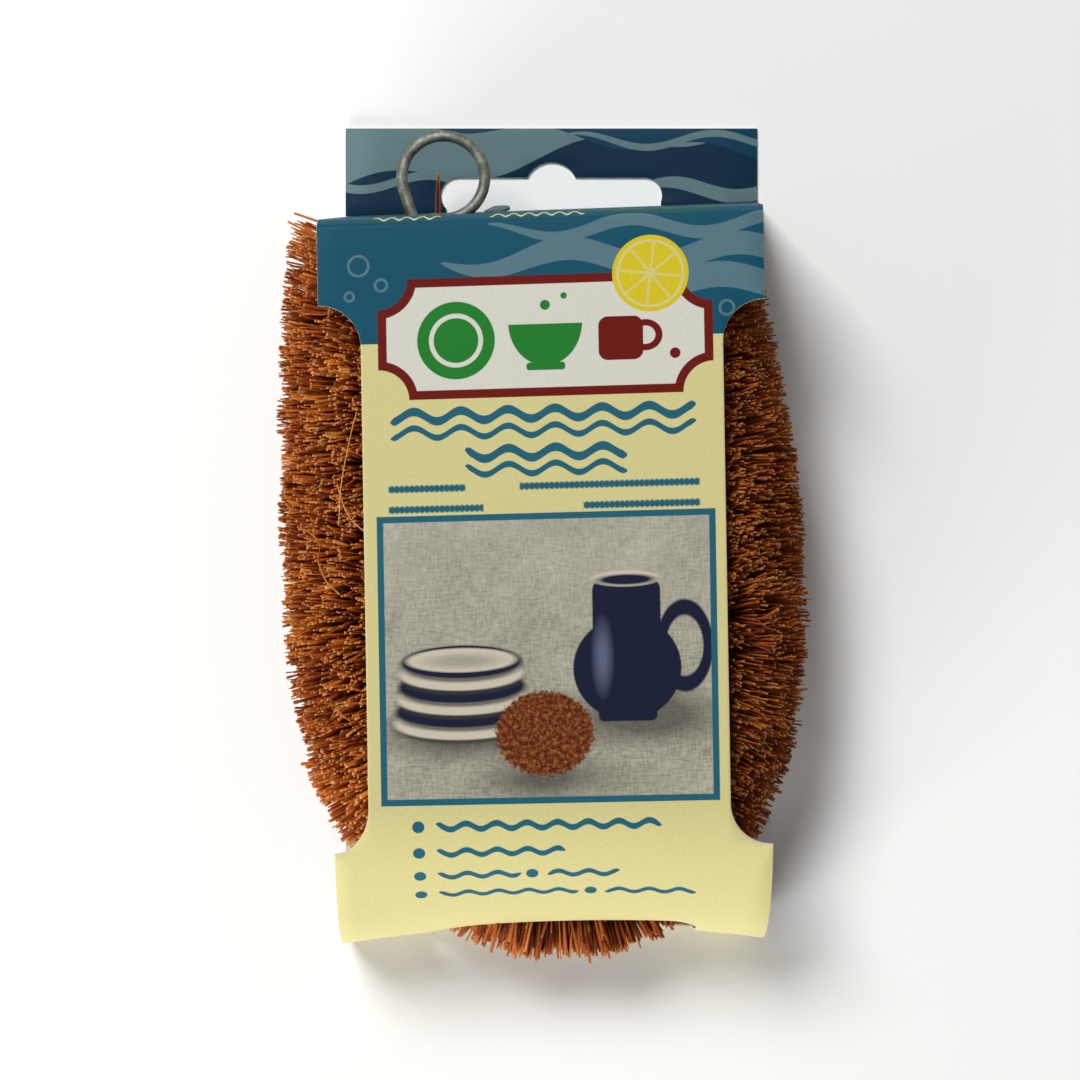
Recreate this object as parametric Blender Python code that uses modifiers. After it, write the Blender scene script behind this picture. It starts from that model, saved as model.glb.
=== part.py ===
# Twisted-wire dish brush of coir fibre, bent into a U and packed in a folded card sleeve with a hang tab.
# It lies on its back panel: +X to the right of its front, +Y towards the hang tab, +Z out of its front.
# The origin is at the middle of the whole object's footprint, on the surface that it lies on.
import math
import random

import bmesh
import bpy
import numpy as np
from mathutils import Matrix, Vector

# Brush: the stem is a twisted pair of wires, bent into a U whose bend is half an ellipse.
LIMB_OFFSET = 0.0238  # from the middle of the U to a limb's axis, at the bend
LIMB_LEAN = 0.0056  # how far a limb's top leans in
BEND_Y = -0.01415  # where the straight limbs end and the bend starts
BEND_DEPTH = 0.0380
STEM_TOP_Y = 0.0523  # where the twist ends under the eye
SHORT_LIMB_DROP = 0.0049  # the limb without the eye ends this much lower
STEM_HEIGHT = 0.0214  # the stem's axis above the surface
BRUSH_TURN = math.radians(3.2)  # the brush lies a little askew in its sleeve
BRUSH_X = -0.0005

# Wire
WIRE_DIAMETER = 0.0020
STRAND_GAP = 0.0007  # the fibres hold the two strands this far apart
TWIST_TURNS = 22
POINTS_PER_TURN = 8
EYE_RADIUS = 0.00735  # to the middle of the wire
EYE_REACH = 0.01305  # from the end of the twist to the eye's centre
EYE_TURN = math.radians(-10.0)  # the eye leans away from the stem's line
EYE_CLOSED = math.radians(9)  # the lower strand joins the ring this far from its foot
EYE_POINTS = 28
LEG_POINTS = 6
LEG_DROP = 0.0009  # how low it keeps under the upper strand on the way
NECK_LENGTH = 0.0049  # bare twist between the fibres and the eye
SHORT_LIMB_STUB = 0.0010  # bare twist past the fibres on the other limb
HOOK_CLEARANCE = 0.00055  # between the hooked tail and the neck

# Coir fibres, in bundles that each turn of the wire holds
TIP_ACROSS = 0.0233  # fibre tips from the stem, in the plane of the U
TIP_HIGH = 0.0203  # fibre tips from the stem, flattened by the sleeve
PACKED_ACROSS = 0.0193  # where the packed mass of fibres ends
PACKED_HIGH = 0.0170
BUNDLE_GAP = 0.0006
BORE_CLEARANCE = 0.00035
BUNDLE_SIDES = 12
STRAND_ROWS = 3
STRAND_ROOT_RADIUS = 0.00075
STRAND_TIP_RADIUS = 0.00042
LIMB_FIBRE_SPREAD = math.radians(128)  # strands reach this far round from the outer side
BEND_FIBRE_SPREAD = math.radians(91)
EYE_END_FAN = math.radians(27)  # the last strands splay out past the end of the limb with the eye
SHORT_END_FAN = math.radians(13)

# Card sleeve
CARD = 0.0005  # thickness
SLEEVE_WIDTH = 0.0760
SLEEVE_X = 0.0013
SLEEVE_DEPTH = 0.0425  # from the back panel's outside to the front panel's outside
CREASE_Y = 0.0602  # back panel's upper crease, where the hang tab starts
FRONT_TOP_Y = 0.0550  # the front panel's upper fold
FRONT_FOLD_RADIUS = 0.0026
FRONT_CURVE_Y = -0.0454  # below here the front panel curves round the brush
BOTTOM_Y = -0.0733
LOW_FOLD_HEIGHT = 0.0060
LOW_FOLD_LENGTH = 0.0045
FRONT_SLANT = math.radians(0.95)  # the front panel's sides slant, as it was wrapped askew
TOP_SKEW = math.radians(2.0)  # the upper crease runs askew
LOW_SKEW = math.radians(0.9)  # the lower fold runs askew
BOTTOM_BOW = 0.0029  # the lower fold is drawn in at its middle
SLEEVE_COLUMNS = 8

# Openings in the card
WAIST_WIDTH = 0.0616
NOTCH_TOP_Y = 0.0399
NOTCH_BOTTOM_Y = -0.0530
BOTTOM_HOLE_X = 0.00175
BOTTOM_HOLE_WIDTH = 0.0505
BOTTOM_HOLE_TOP = 0.0235  # at its middle
BOTTOM_HOLE_TILT = 0.08  # its upper edge rises to the right
BOTTOM_HOLE_LOW = 0.0052
BOTTOM_HOLE_CORNER = 0.0055  # its upper right corner
BOTTOM_HOLE_SWEEP = 0.0135  # its upper left corner is a long sweep, this wide
BOTTOM_HOLE_RISE = 0.0150  # and this high
RING_HOLE_WIDTH = 0.0160
RING_HOLE_HEIGHT = 0.0062

# Hang tab, which folds about the upper crease
TAB_TOP_Y = 0.0754
TAB_GAP = 0.0006  # from the middle of the sleeve's crease to the tab's foot
SLOT_WIDTH = 0.0408
SLOT_TOP_Y = 0.0663
SLOT_END_RADIUS = 0.0033
BUMP_RADIUS = 0.0049
BUMP_RISE = 0.0028

WIRE_RADIUS = WIRE_DIAMETER / 2
TWIST_RADIUS = WIRE_RADIUS + STRAND_GAP / 2
TWIST_REACH = TWIST_RADIUS + WIRE_RADIUS
BUNDLES = TWIST_TURNS
FACE_GAP = 0.0003

COLOURS = {
    "galvanised_steel": ((0.42, 0.43, 0.40), 0.38, 1.0),
    "coir": ((0.30, 0.115, 0.03), 0.7, 0.0),
    "printed_card": ((0.72, 0.66, 0.31), 0.45, 0.0),
    "printed_card_blue": ((0.03, 0.10, 0.16), 0.45, 0.0),
}


def start_scene():
    for old in list(bpy.data.objects):
        bpy.data.objects.remove(old)
    parts = bpy.data.collections.new("dish_brush")
    cutters = bpy.data.collections.new("cutters")
    cutters.hide_render = True
    for collection in (parts, cutters):
        bpy.context.scene.collection.children.link(collection)
    return parts, cutters


def material(name):
    found = bpy.data.materials.get(name)
    if found:
        return found
    colour, roughness, metallic = COLOURS[name]
    made = bpy.data.materials.new(name)
    made.use_nodes = True
    shader = made.node_tree.nodes["Principled BSDF"]
    shader.inputs["Base Color"].default_value = (*colour, 1.0)
    shader.inputs["Roughness"].default_value = roughness
    shader.inputs["Metallic"].default_value = metallic
    return made


def add_object(name, data, collection, material_name=None, parent=None):
    obj = bpy.data.objects.new(name, data)
    collection.objects.link(obj)
    if material_name:
        obj.data.materials.append(material(material_name))
    if parent:
        obj.parent = parent
    return obj


def mesh_from(bm, name):
    bmesh.ops.recalc_face_normals(bm, faces=bm.faces)
    mesh = bpy.data.meshes.new(name)
    bm.to_mesh(mesh)
    bm.free()
    return mesh


def arc(cx, cy, radius, start, end, steps):
    """Points of an arc, with its angles in degrees."""
    turns = [math.radians(start + (end - start) * i / steps) for i in range(steps + 1)]
    return [(cx + radius * math.cos(a), cy + radius * math.sin(a)) for a in turns]


def flat_solid(name, outline, thickness, collection):
    """A closed plate with this outline in XY, centred on z = 0, made from a filled 2D curve."""
    curve = bpy.data.curves.new(name + "_outline", "CURVE")
    curve.dimensions = "2D"
    curve.fill_mode = "BOTH"
    curve.extrude = thickness / 2
    spline = curve.splines.new("POLY")
    spline.points.add(len(outline) - 1)
    for point, (x, y) in zip(spline.points, outline):
        point.co = (x, y, 0, 1)
    spline.use_cyclic_u = True
    drawn = add_object(name + "_outline", curve, collection)
    bpy.context.view_layer.update()
    evaluated = drawn.evaluated_get(bpy.context.evaluated_depsgraph_get())
    mesh = bpy.data.meshes.new_from_object(evaluated)
    bpy.data.objects.remove(drawn)
    bm = bmesh.new()
    bm.from_mesh(mesh)
    bmesh.ops.remove_doubles(bm, verts=bm.verts, dist=1e-6)
    bmesh.ops.recalc_face_normals(bm, faces=bm.faces)
    bm.to_mesh(mesh)
    bm.free()
    return add_object(name, mesh, collection)


def cut(obj, cutter):
    cutter.display_type = "WIRE"
    cutter.hide_render = True
    boolean = obj.modifiers.new("cut_" + cutter.name, "BOOLEAN")
    boolean.operation = "DIFFERENCE"
    boolean.object = cutter


class Stem:
    """The stem's axis in the brush's own frame, measured along its length from the eye's end."""

    def __init__(self):
        limb = np.linspace(0, 1, 120)
        span = STEM_TOP_Y - BEND_Y
        turn = np.linspace(0, math.pi, 240)[1:-1]
        left = [(-(LIMB_OFFSET - LIMB_LEAN * (1 - t) ** 2), STEM_TOP_Y - span * t) for t in limb]
        bend = [(-LIMB_OFFSET * math.cos(a), BEND_Y - BEND_DEPTH * math.sin(a)) for a in turn]
        short = (span - SHORT_LIMB_DROP) / span
        right = [(LIMB_OFFSET - LIMB_LEAN * (short * t) ** 2, BEND_Y + span * short * t) for t in limb]
        self.points = np.array(left + bend + right)
        steps = np.linalg.norm(np.diff(self.points, axis=0), axis=1)
        self.along = np.concatenate([[0], np.cumsum(steps)])
        self.length = self.along[-1]

    def flat_point(self, s):
        return Vector((np.interp(s, self.along, self.points[:, 0]), np.interp(s, self.along, self.points[:, 1]), 0))

    def frame(self, s):
        """Point, direction and outward side at this length along the stem."""
        nearby = 0.0008
        low, high = max(0, s - nearby), min(self.length, s + nearby)
        direction = (self.flat_point(high) - self.flat_point(low)).normalized()
        return self.flat_point(s), direction, Vector((direction.y, -direction.x, 0))

    def bend_radius(self, s):
        nearby = 0.0030
        low, high = max(0, s - nearby), min(self.length, s + nearby)
        angle = self.frame(low)[1].angle(self.frame(high)[1])
        return (high - low) / max(angle, 1e-4)


STEM = Stem()
UP = Vector((0, 0, 1))


def to_row(point):
    """From the brush's own frame to the object's."""
    return Matrix.Translation((BRUSH_X, 0, STEM_HEIGHT)) @ Matrix.Rotation(BRUSH_TURN, 4, "Z") @ point


def sleeve_skew(point):
    """How far the askew wrap moves a point of the sleeve, along X and Y."""
    rise = (point.y - BOTTOM_Y) / (CREASE_Y - BOTTOM_Y)
    skew = LOW_SKEW + (TOP_SKEW - LOW_SKEW) * rise
    slant = math.tan(FRONT_SLANT) * point.z / SLEEVE_DEPTH
    return Vector((-slant * (point.y - BOTTOM_Y), math.tan(skew) * (point.x - SLEEVE_X), 0))


def sleeve_warp(point):
    """From the straight sleeve to the one as wrapped: askew, with its lower fold bowed in."""
    low = min(1.0, max(0.0, (FRONT_CURVE_Y - point.y) / (FRONT_CURVE_Y - BOTTOM_Y)))
    across = (point.x - SLEEVE_X) / (SLEEVE_WIDTH / 2)
    bow = BOTTOM_BOW * low * low * (1 - across * across)
    return point + sleeve_skew(point) + Vector((0, bow, 0))


def fits_in_sleeve(point, margin, through_hole=True):
    """Whether a point in the object's frame is clear of the sleeve's walls, or beside the sleeve."""
    if point.z < CARD + margin:
        return False
    if abs(point.x - SLEEVE_X) > SLEEVE_WIDTH / 2 + 2 * margin:
        return True
    straight = point - sleeve_skew(point)
    if straight.z > SLEEVE_DEPTH - CARD - margin:
        return False
    rise = straight.z / SLEEVE_DEPTH
    if straight.y > CREASE_Y + (FRONT_TOP_Y - CREASE_Y) * rise - CARD - margin:
        return False
    hole_top = BOTTOM_HOLE_TOP + BOTTOM_HOLE_TILT * (point.x - BOTTOM_HOLE_X)
    in_hole = (
        abs(point.x - BOTTOM_HOLE_X) < BOTTOM_HOLE_WIDTH / 2 - 2 * margin
        and BOTTOM_HOLE_LOW + margin < point.z < hole_top - 2 * margin
    )
    from_sweep = max(0.0, BOTTOM_HOLE_X - BOTTOM_HOLE_WIDTH / 2 + BOTTOM_HOLE_SWEEP + 2 * margin - point.x)
    above_sweep = max(0.0, point.z - hole_top + BOTTOM_HOLE_RISE + 2 * margin)
    in_hole = in_hole and math.hypot(from_sweep / BOTTOM_HOLE_SWEEP, above_sweep / BOTTOM_HOLE_RISE) < 1
    if straight.y > FRONT_CURVE_Y or (through_hole and in_hole and straight.y < BOTTOM_Y + 0.014):
        return True
    wall = CARD + margin + BOTTOM_BOW
    across = (straight.y - FRONT_CURVE_Y) / (FRONT_CURVE_Y - BOTTOM_Y - wall)
    high = max(0.0, straight.z - LOW_FOLD_HEIGHT) / (SLEEVE_DEPTH - LOW_FOLD_HEIGHT - CARD - margin)
    return across * across + high * high < 1


def clear_reach(start, direction, wanted, margin, through_hole=True):
    """How far along direction, at most wanted, a line from start stays clear of the sleeve."""
    steps = 60
    reach = 0.0
    for i in range(1, steps + 1):
        tried = wanted * i / steps
        if not fits_in_sleeve(to_row(start + direction * tried), margin, through_hole):
            break
        reach = tried
    return reach


def oval(across, inner, high, angle):
    """Radius of the fibres' outline at this angle from the outer side. inner is its reach on the inner side."""
    side = across if math.cos(angle) > 0 else inner
    return 1 / math.hypot(math.cos(angle) / side, math.sin(angle) / high)


def inner_reach(s, across):
    """How far fibres can reach on the inner side of the U before they meet the others."""
    point, _, outward = STEM.frame(s)
    to_middle = (abs(point.x) - FACE_GAP) / max(abs(outward.x), 0.05)
    return min(across, 0.6 * STEM.bend_radius(s), to_middle)


def packed_radius(s, angle):
    """Radius of the packed fibres at this place and angle, clear of the sleeve."""
    point, _, outward = STEM.frame(s)
    wanted = oval(PACKED_ACROSS, inner_reach(s, PACKED_ACROSS), PACKED_HIGH, angle)
    side = outward * math.cos(angle) + UP * math.sin(angle)
    return clear_reach(point, side, wanted, 0.0009, through_hole=math.sin(angle) < -0.1)


def packed_mesh(name, start, end):
    """The packed fibres between two places on the stem, bored for the twisted wires."""
    bm = bmesh.new()
    angles = [2 * math.pi * i / BUNDLE_SIDES for i in range(BUNDLE_SIDES)]
    bore = (TWIST_REACH + BORE_CLEARANCE) / math.cos(math.pi / BUNDLE_SIDES)
    places = (start, (start + end) / 2, end)

    def ring(s, radius_at):
        point, _, outward = STEM.frame(s)
        return [bm.verts.new(point + radius_at(a) * (outward * math.cos(a) + UP * math.sin(a))) for a in angles]

    outer = [ring(s, lambda a, s=s: packed_radius(s, a)) for s in places]
    inner = [ring(s, lambda a: bore) for s in reversed(places)]
    loops = outer + inner
    for first, second in zip(loops, loops[1:] + loops[:1]):
        for i in range(BUNDLE_SIDES):
            j = (i + 1) % BUNDLE_SIDES
            bm.faces.new((first[i], first[j], second[j], second[i]))
    return mesh_from(bm, name)


def bundle_span(number):
    first, last = NECK_LENGTH, STEM.length - SHORT_LIMB_STUB
    length = (last - first) / BUNDLES
    return first + number * length + BUNDLE_GAP / 2, first + (number + 1) * length - BUNDLE_GAP / 2


def strand_angles(row, spread):
    """Angles from the outer side of one row's strands: rows of five and of six, staggered."""
    shares = (-0.8, -0.4, 0, 0.4, 0.8) if row % 2 == 0 else (-1, -0.6, -0.2, 0.2, 0.6, 1)
    return [spread * share for share in shares]


def strands_mesh(name, number, start, end):
    """Strands of fibre that stand out of the packed mass, as three-sided cones."""
    rng = random.Random(number)
    bm = bmesh.new()
    length = end - start
    for row in range(STRAND_ROWS):
        s = start + length * (row + 0.5) / STRAND_ROWS
        point, along, outward = STEM.frame(s)
        in_bend = min(1.0, 0.030 / STEM.bend_radius(s))
        spread = LIMB_FIBRE_SPREAD + (BEND_FIBRE_SPREAD - LIMB_FIBRE_SPREAD) * in_bend
        from_eye_end = (s - NECK_LENGTH) / (1.4 * length)
        from_short_end = (STEM.length - SHORT_LIMB_STUB - s) / (1.4 * length)
        fan = SHORT_END_FAN * max(0.0, 1 - from_short_end) - EYE_END_FAN * max(0.0, 1 - from_eye_end)
        for angle in strand_angles(row, spread):
            turned = angle + (rng.uniform(-0.05, 0.05) if angle else 0)
            tilt = fan + (rng.uniform(-0.06, 0.06) if angle else 0)
            side = outward * math.cos(turned) + UP * math.sin(turned)
            lean = (side * math.cos(tilt) + along * math.sin(tilt)).normalized()
            wanted = oval(TIP_ACROSS, inner_reach(s, TIP_ACROSS), TIP_HIGH, turned)
            wanted *= 1 if angle == 0 else rng.uniform(0.94, 1.0)
            root = 0.8 * packed_radius(s, turned)
            tip = clear_reach(point, lean, wanted / math.cos(tilt), 0.0006)
            if tip < packed_radius(s, turned) + 0.0008:
                continue
            bottom, top = point + side * root, point + lean * tip
            turn = (top - bottom).to_track_quat("Z", "Y").to_matrix().to_4x4()
            bmesh.ops.create_cone(
                bm,
                cap_ends=True,
                segments=3,
                radius1=STRAND_ROOT_RADIUS,
                radius2=STRAND_TIP_RADIUS,
                depth=(top - bottom).length,
                matrix=Matrix.Translation((top + bottom) / 2) @ turn,
            )
    return mesh_from(bm, name)


def make_bundles(parts, cutters, brush):
    strands = 0
    for number in range(BUNDLES):
        start, end = bundle_span(number)
        name = f"coir_bundle_{number + 1:02d}"
        bundle = add_object(name, packed_mesh(name, start, end), parts, "coir", brush)
        spikes = strands_mesh(name + "_strands", number, start, end)
        strands += len(spikes.vertices) // 6
        loose = add_object(name + "_strands", spikes, cutters, None, brush)
        loose.display_type = "WIRE"
        loose.hide_render = True
        union = bundle.modifiers.new("strands", "BOOLEAN")
        union.operation = "UNION"
        union.object = loose
    print("strands of fibre:", strands)


def twist_point(s, half_turn):
    """Centre of one strand of the twisted pair at this place on the stem."""
    point, _, outward = STEM.frame(s)
    angle = 2 * math.pi * TWIST_TURNS * s / STEM.length + math.pi * (half_turn + 0.5)
    return point + TWIST_RADIUS * (outward * math.cos(angle) + UP * math.sin(angle))


def eye_points():
    """The hanging eye, from the lower strand's leg, over its top, to the upper strand's leg."""
    neck, along, _ = STEM.frame(0)
    line = Matrix.Rotation(EYE_TURN, 3, "Z") @ -along
    centre = neck + line * EYE_REACH
    facing = math.atan2(-line.y, -line.x)
    open_half = math.acos(EYE_RADIUS / EYE_REACH)
    ring = []
    for i in range(EYE_POINTS + 1):
        angle = facing + EYE_CLOSED + (2 * math.pi - EYE_CLOSED - open_half) * i / EYE_POINTS
        ring.append(centre + EYE_RADIUS * Vector((math.cos(angle), math.sin(angle), 0)))
    # the lower strand bends over from the neck into the foot of the ring
    first = twist_point(0, 1)
    onward = Vector((-math.sin(facing + EYE_CLOSED), math.cos(facing + EYE_CLOSED), 0))
    reach = (ring[0] - first).length * 0.5
    controls = (first, first - along * reach * 0.8, ring[0] - onward * reach - UP * LEG_DROP, ring[0])
    leg = []
    for i in range(1, LEG_POINTS):
        t = i / LEG_POINTS
        shares = ((1 - t) ** 3, 3 * t * (1 - t) ** 2, 3 * t * t * (1 - t), t ** 3)
        leg.append(sum((c * share for c, share in zip(controls, shares)), Vector((0, 0, 0))))
    return leg + ring


def smooth_route(controls, steps):
    """A smooth curve through hand-placed points."""
    ends = [2 * controls[0] - controls[1], *controls, 2 * controls[-1] - controls[-2]]
    route = []
    for a, b, c, d in zip(ends, ends[1:], ends[2:], ends[3:]):
        for i in range(steps):
            t = i / steps
            route.append(0.5 * (2 * b + (c - a) * t + (2 * a - 5 * b + 4 * c - d) * t * t
                                + (3 * b - a - 3 * c + d) * t ** 3))
    return route + [controls[-1]]


def tail_points():
    """The longer tail: over the short limb's end, across to the other limb's neck and hooked round it."""
    last = twist_point(STEM.length, 0)
    _, along, _ = STEM.frame(STEM.length)
    neck, down, _ = STEM.frame(NECK_LENGTH / 2)
    hook = TWIST_REACH + HOOK_CLEARANCE + WIRE_RADIUS
    side = Vector((-down.y, down.x, 0))
    front = neck + UP * hook
    over = last + along * 0.0022
    controls = [
        last + along * 0.0010,
        over + UP * 0.0010 - side * 0.0002,
        Vector((over.x - 0.0030, neck.y + 0.0008, hook * 0.75)),
        Vector((over.x - 0.0075, neck.y + 0.0004, hook)),
        Vector((neck.x + 0.0120, neck.y + 0.0002, hook)),
        front + side * 0.0030,
    ]
    rising = math.radians(255)
    turns = [rising * i / 9 for i in range(10)]
    hooked = [neck + down * 0.0003 + hook * (UP * math.cos(a) - side * math.sin(a)) for a in turns]
    return smooth_route(controls, 3) + hooked


def wire_route():
    """One wire from its short clipped tail, round the eye, to its long hooked tail."""
    turns = TWIST_TURNS * POINTS_PER_TURN
    places = [STEM.length * i / turns for i in range(turns + 1)]
    lower = [twist_point(s, 1) for s in reversed(places)]
    upper = [twist_point(s, 0) for s in places]
    return lower + eye_points() + upper + tail_points()


def least_gap(route):
    """The least gap between stretches of the wire that aren't next to each other."""
    points = np.array([list(p) for p in route])
    fine = np.concatenate([points[:-1] + (points[1:] - points[:-1]) * t for t in (0, 0.25, 0.5, 0.75)])
    order = np.concatenate([np.arange(len(points) - 1) + t for t in (0, 0.25, 0.5, 0.75)])
    fine = fine[np.argsort(order)]
    steps = np.linalg.norm(np.diff(fine, axis=0), axis=1)
    along = np.concatenate([[0], np.cumsum(steps)])
    least = 1.0
    for i, point in enumerate(fine):
        far = along - along[i] > 3.0 * WIRE_DIAMETER
        if far.any():
            least = min(least, np.linalg.norm(fine[far] - point, axis=1).min())
    return least - WIRE_DIAMETER, along[-1]


def make_wire(parts, brush):
    route = wire_route()
    gap, length = least_gap(route)
    print(f"wire: {length * 1000:.0f} mm long, least gap to itself {gap * 1000:.2f} mm")
    curve = bpy.data.curves.new("core_wire", "CURVE")
    curve.dimensions = "3D"
    curve.bevel_depth = WIRE_RADIUS
    curve.bevel_resolution = 1
    curve.use_fill_caps = True
    spline = curve.splines.new("POLY")
    spline.points.add(len(route) - 1)
    for point, place in zip(spline.points, route):
        point.co = (*place, 1)
    return add_object("core_wire", curve, parts, "galvanised_steel", brush)


def sleeve_profile():
    """The middle of the card, seen from the side as (y, z), from the upper crease over the front and back."""
    low, high = CARD / 2, SLEEVE_DEPTH - CARD / 2
    profile = [(CREASE_Y, low)]
    slope = math.degrees(math.atan2(CREASE_Y - FRONT_TOP_Y, SLEEVE_DEPTH))
    fold = FRONT_FOLD_RADIUS
    profile += arc(FRONT_TOP_Y - fold, high - fold, fold, slope, 90, 5)
    profile += [(FRONT_TOP_Y + (FRONT_CURVE_Y - FRONT_TOP_Y) * i / 6, high) for i in range(1, 6)]
    for i in range(11):
        angle = math.pi / 2 * i / 10
        y = FRONT_CURVE_Y - (FRONT_CURVE_Y - BOTTOM_Y - CARD / 2) * math.sin(angle)
        profile.append((y, LOW_FOLD_HEIGHT + (high - LOW_FOLD_HEIGHT) * math.cos(angle)))
    for i in range(1, 5):
        angle = math.pi / 2 * i / 4
        y = BOTTOM_Y + CARD / 2 + LOW_FOLD_LENGTH * (1 - math.cos(angle))
        profile.append((y, LOW_FOLD_HEIGHT - (LOW_FOLD_HEIGHT - low) * math.sin(angle)))
    return profile


def make_sleeve(parts, cutters):
    """The folded card, with its waist notches, its lower hole and the hole that the eye comes through."""
    bm = bmesh.new()
    left = SLEEVE_X - SLEEVE_WIDTH / 2
    verts = [bm.verts.new((left, y, z)) for y, z in sleeve_profile()]
    edges = [bm.edges.new((a, b)) for a, b in zip(verts, verts[1:] + verts[:1])]
    for _ in range(SLEEVE_COLUMNS):
        made = bmesh.ops.extrude_edge_only(bm, edges=edges)["geom"]
        edges = [e for e in made if isinstance(e, bmesh.types.BMEdge)]
        moved = [v for v in made if isinstance(v, bmesh.types.BMVert)]
        bmesh.ops.translate(bm, verts=moved, vec=(SLEEVE_WIDTH / SLEEVE_COLUMNS, 0, 0))
        edges = [e for e in edges if all(v in moved for v in e.verts)]
    for vert in bm.verts:
        vert.co = sleeve_warp(vert.co)
    sleeve = add_object("card_sleeve", mesh_from(bm, "card_sleeve"), parts, "printed_card")
    wall = sleeve.modifiers.new("card", "SOLIDIFY")
    wall.thickness = CARD
    wall.offset = 0
    wall.use_even_offset = True
    for cutter in sleeve_cutters(cutters):
        cut(sleeve, cutter)
    return sleeve


def sleeve_cutters(cutters):
    made = []
    corner = (SLEEVE_WIDTH - WAIST_WIDTH) / 2
    edge, waist, past = SLEEVE_WIDTH / 2, WAIST_WIDTH / 2, SLEEVE_WIDTH / 2 + 0.006
    notch = [(past, NOTCH_TOP_Y)] + arc(edge, NOTCH_TOP_Y - corner, corner, 90, 180, 8)
    notch += arc(edge, NOTCH_BOTTOM_Y + corner, corner, 180, 270, 8) + [(past, NOTCH_BOTTOM_Y)]
    turn = Matrix.Rotation(FRONT_SLANT, 4, "Z")
    pivot = Matrix.Translation((0, BOTTOM_Y, 0))
    for name, side in (("notch_right", 1), ("notch_left", -1)):
        outline = [(side * x, y) for x, y in notch]
        cutter = flat_solid(name, outline, 0.030, cutters)
        cutter.matrix_world = (
            Matrix.Translation((SLEEVE_X, 0, SLEEVE_DEPTH)) @ pivot @ turn @ pivot.inverted()
        )
        made.append(cutter)

    half, round_ = BOTTOM_HOLE_WIDTH / 2, BOTTOM_HOLE_CORNER
    hole = arc(half - round_, BOTTOM_HOLE_TOP - round_, round_, 0, 90, 6)
    for x, z in arc(0, 0, 1, 90, 180, 8):
        hole.append((BOTTOM_HOLE_SWEEP * (1 + x) - half, BOTTOM_HOLE_TOP - BOTTOM_HOLE_RISE * (1 - z)))
    hole = [(x, z + BOTTOM_HOLE_TILT * x) for x, z in hole]
    hole += [(-half, BOTTOM_HOLE_LOW), (half, BOTTOM_HOLE_LOW)]
    cutter = flat_solid("lower_hole", hole, 0.020, cutters)
    cutter.matrix_world = Matrix.Translation((BOTTOM_HOLE_X, BOTTOM_Y, 0)) @ Matrix.Rotation(math.pi / 2, 4, "X")
    made.append(cutter)

    legs = to_row(STEM.frame(0)[0])
    half, round_ = RING_HOLE_WIDTH / 2, RING_HOLE_HEIGHT / 2
    slot = arc(half - round_, 0, round_, -90, 90, 8) + arc(round_ - half, 0, round_, 90, 270, 8)
    cutter = flat_solid("eye_hole", slot, 0.012, cutters)
    cutter.matrix_world = (
        Matrix.Translation((legs.x + 0.0020, (CREASE_Y + FRONT_TOP_Y) / 2, STEM_HEIGHT))
        @ Matrix.Rotation(math.pi / 2, 4, "X")
    )
    made.append(cutter)
    return made


def tab_outline():
    """The tab's outline in its hinge's frame, with the peg slot cut up from its foot."""
    half, top = SLEEVE_WIDTH / 2, TAB_TOP_Y - CREASE_Y - TAB_GAP
    slot, radius, slot_top = SLOT_WIDTH / 2, SLOT_END_RADIUS, SLOT_TOP_Y - CREASE_Y - TAB_GAP
    end_y = slot_top - radius
    bump = math.degrees(math.asin((BUMP_RADIUS - BUMP_RISE) / BUMP_RADIUS))
    square = arc(radius - slot, end_y, radius, 225, 90, 12)
    square += arc(0, slot_top + BUMP_RISE - BUMP_RADIUS, BUMP_RADIUS, 180 - bump, bump, 12)
    square += arc(slot - radius, end_y, radius, 90, -45, 12)
    square += [(half, 0), (half, top), (-half, top), (-half, 0)]
    turned = [Matrix.Rotation(-TOP_SKEW, 2) @ Vector(point) for point in square]
    slot_points, (right_foot, right_top, left_top, left_foot) = turned[:-4], turned[-4:]
    clear = [point for point in slot_points if point.y > 0.0002]
    foot = [(clear[0].x, 0)] + [tuple(point) for point in clear] + [(clear[-1].x, 0)]
    return foot + [(right_foot.x, 0), tuple(right_top), tuple(left_top), (left_foot.x, 0)]


def make_tab(parts):
    """The hang tab, whose empty sits on the crease that it folds about."""
    hinge = bpy.data.objects.new("tab_hinge", None)
    hinge.location = (SLEEVE_X, CREASE_Y + TAB_GAP, CARD / 2)
    hinge.rotation_euler.z = TOP_SKEW
    parts.objects.link(hinge)
    tab = flat_solid("hang_tab", tab_outline(), CARD, parts)
    tab.data.materials.append(material("printed_card_blue"))
    tab.parent = hinge


def main():
    parts, cutters = start_scene()
    brush = bpy.data.objects.new("brush", None)
    brush.location = (BRUSH_X, 0, STEM_HEIGHT)
    brush.rotation_euler.z = BRUSH_TURN
    parts.objects.link(brush)
    make_wire(parts, brush)
    make_bundles(parts, cutters, brush)
    make_sleeve(parts, cutters)
    make_tab(parts)


main()
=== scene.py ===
import math

import bmesh
import bpy
import numpy as np
from mathutils import Matrix, Vector


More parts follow.
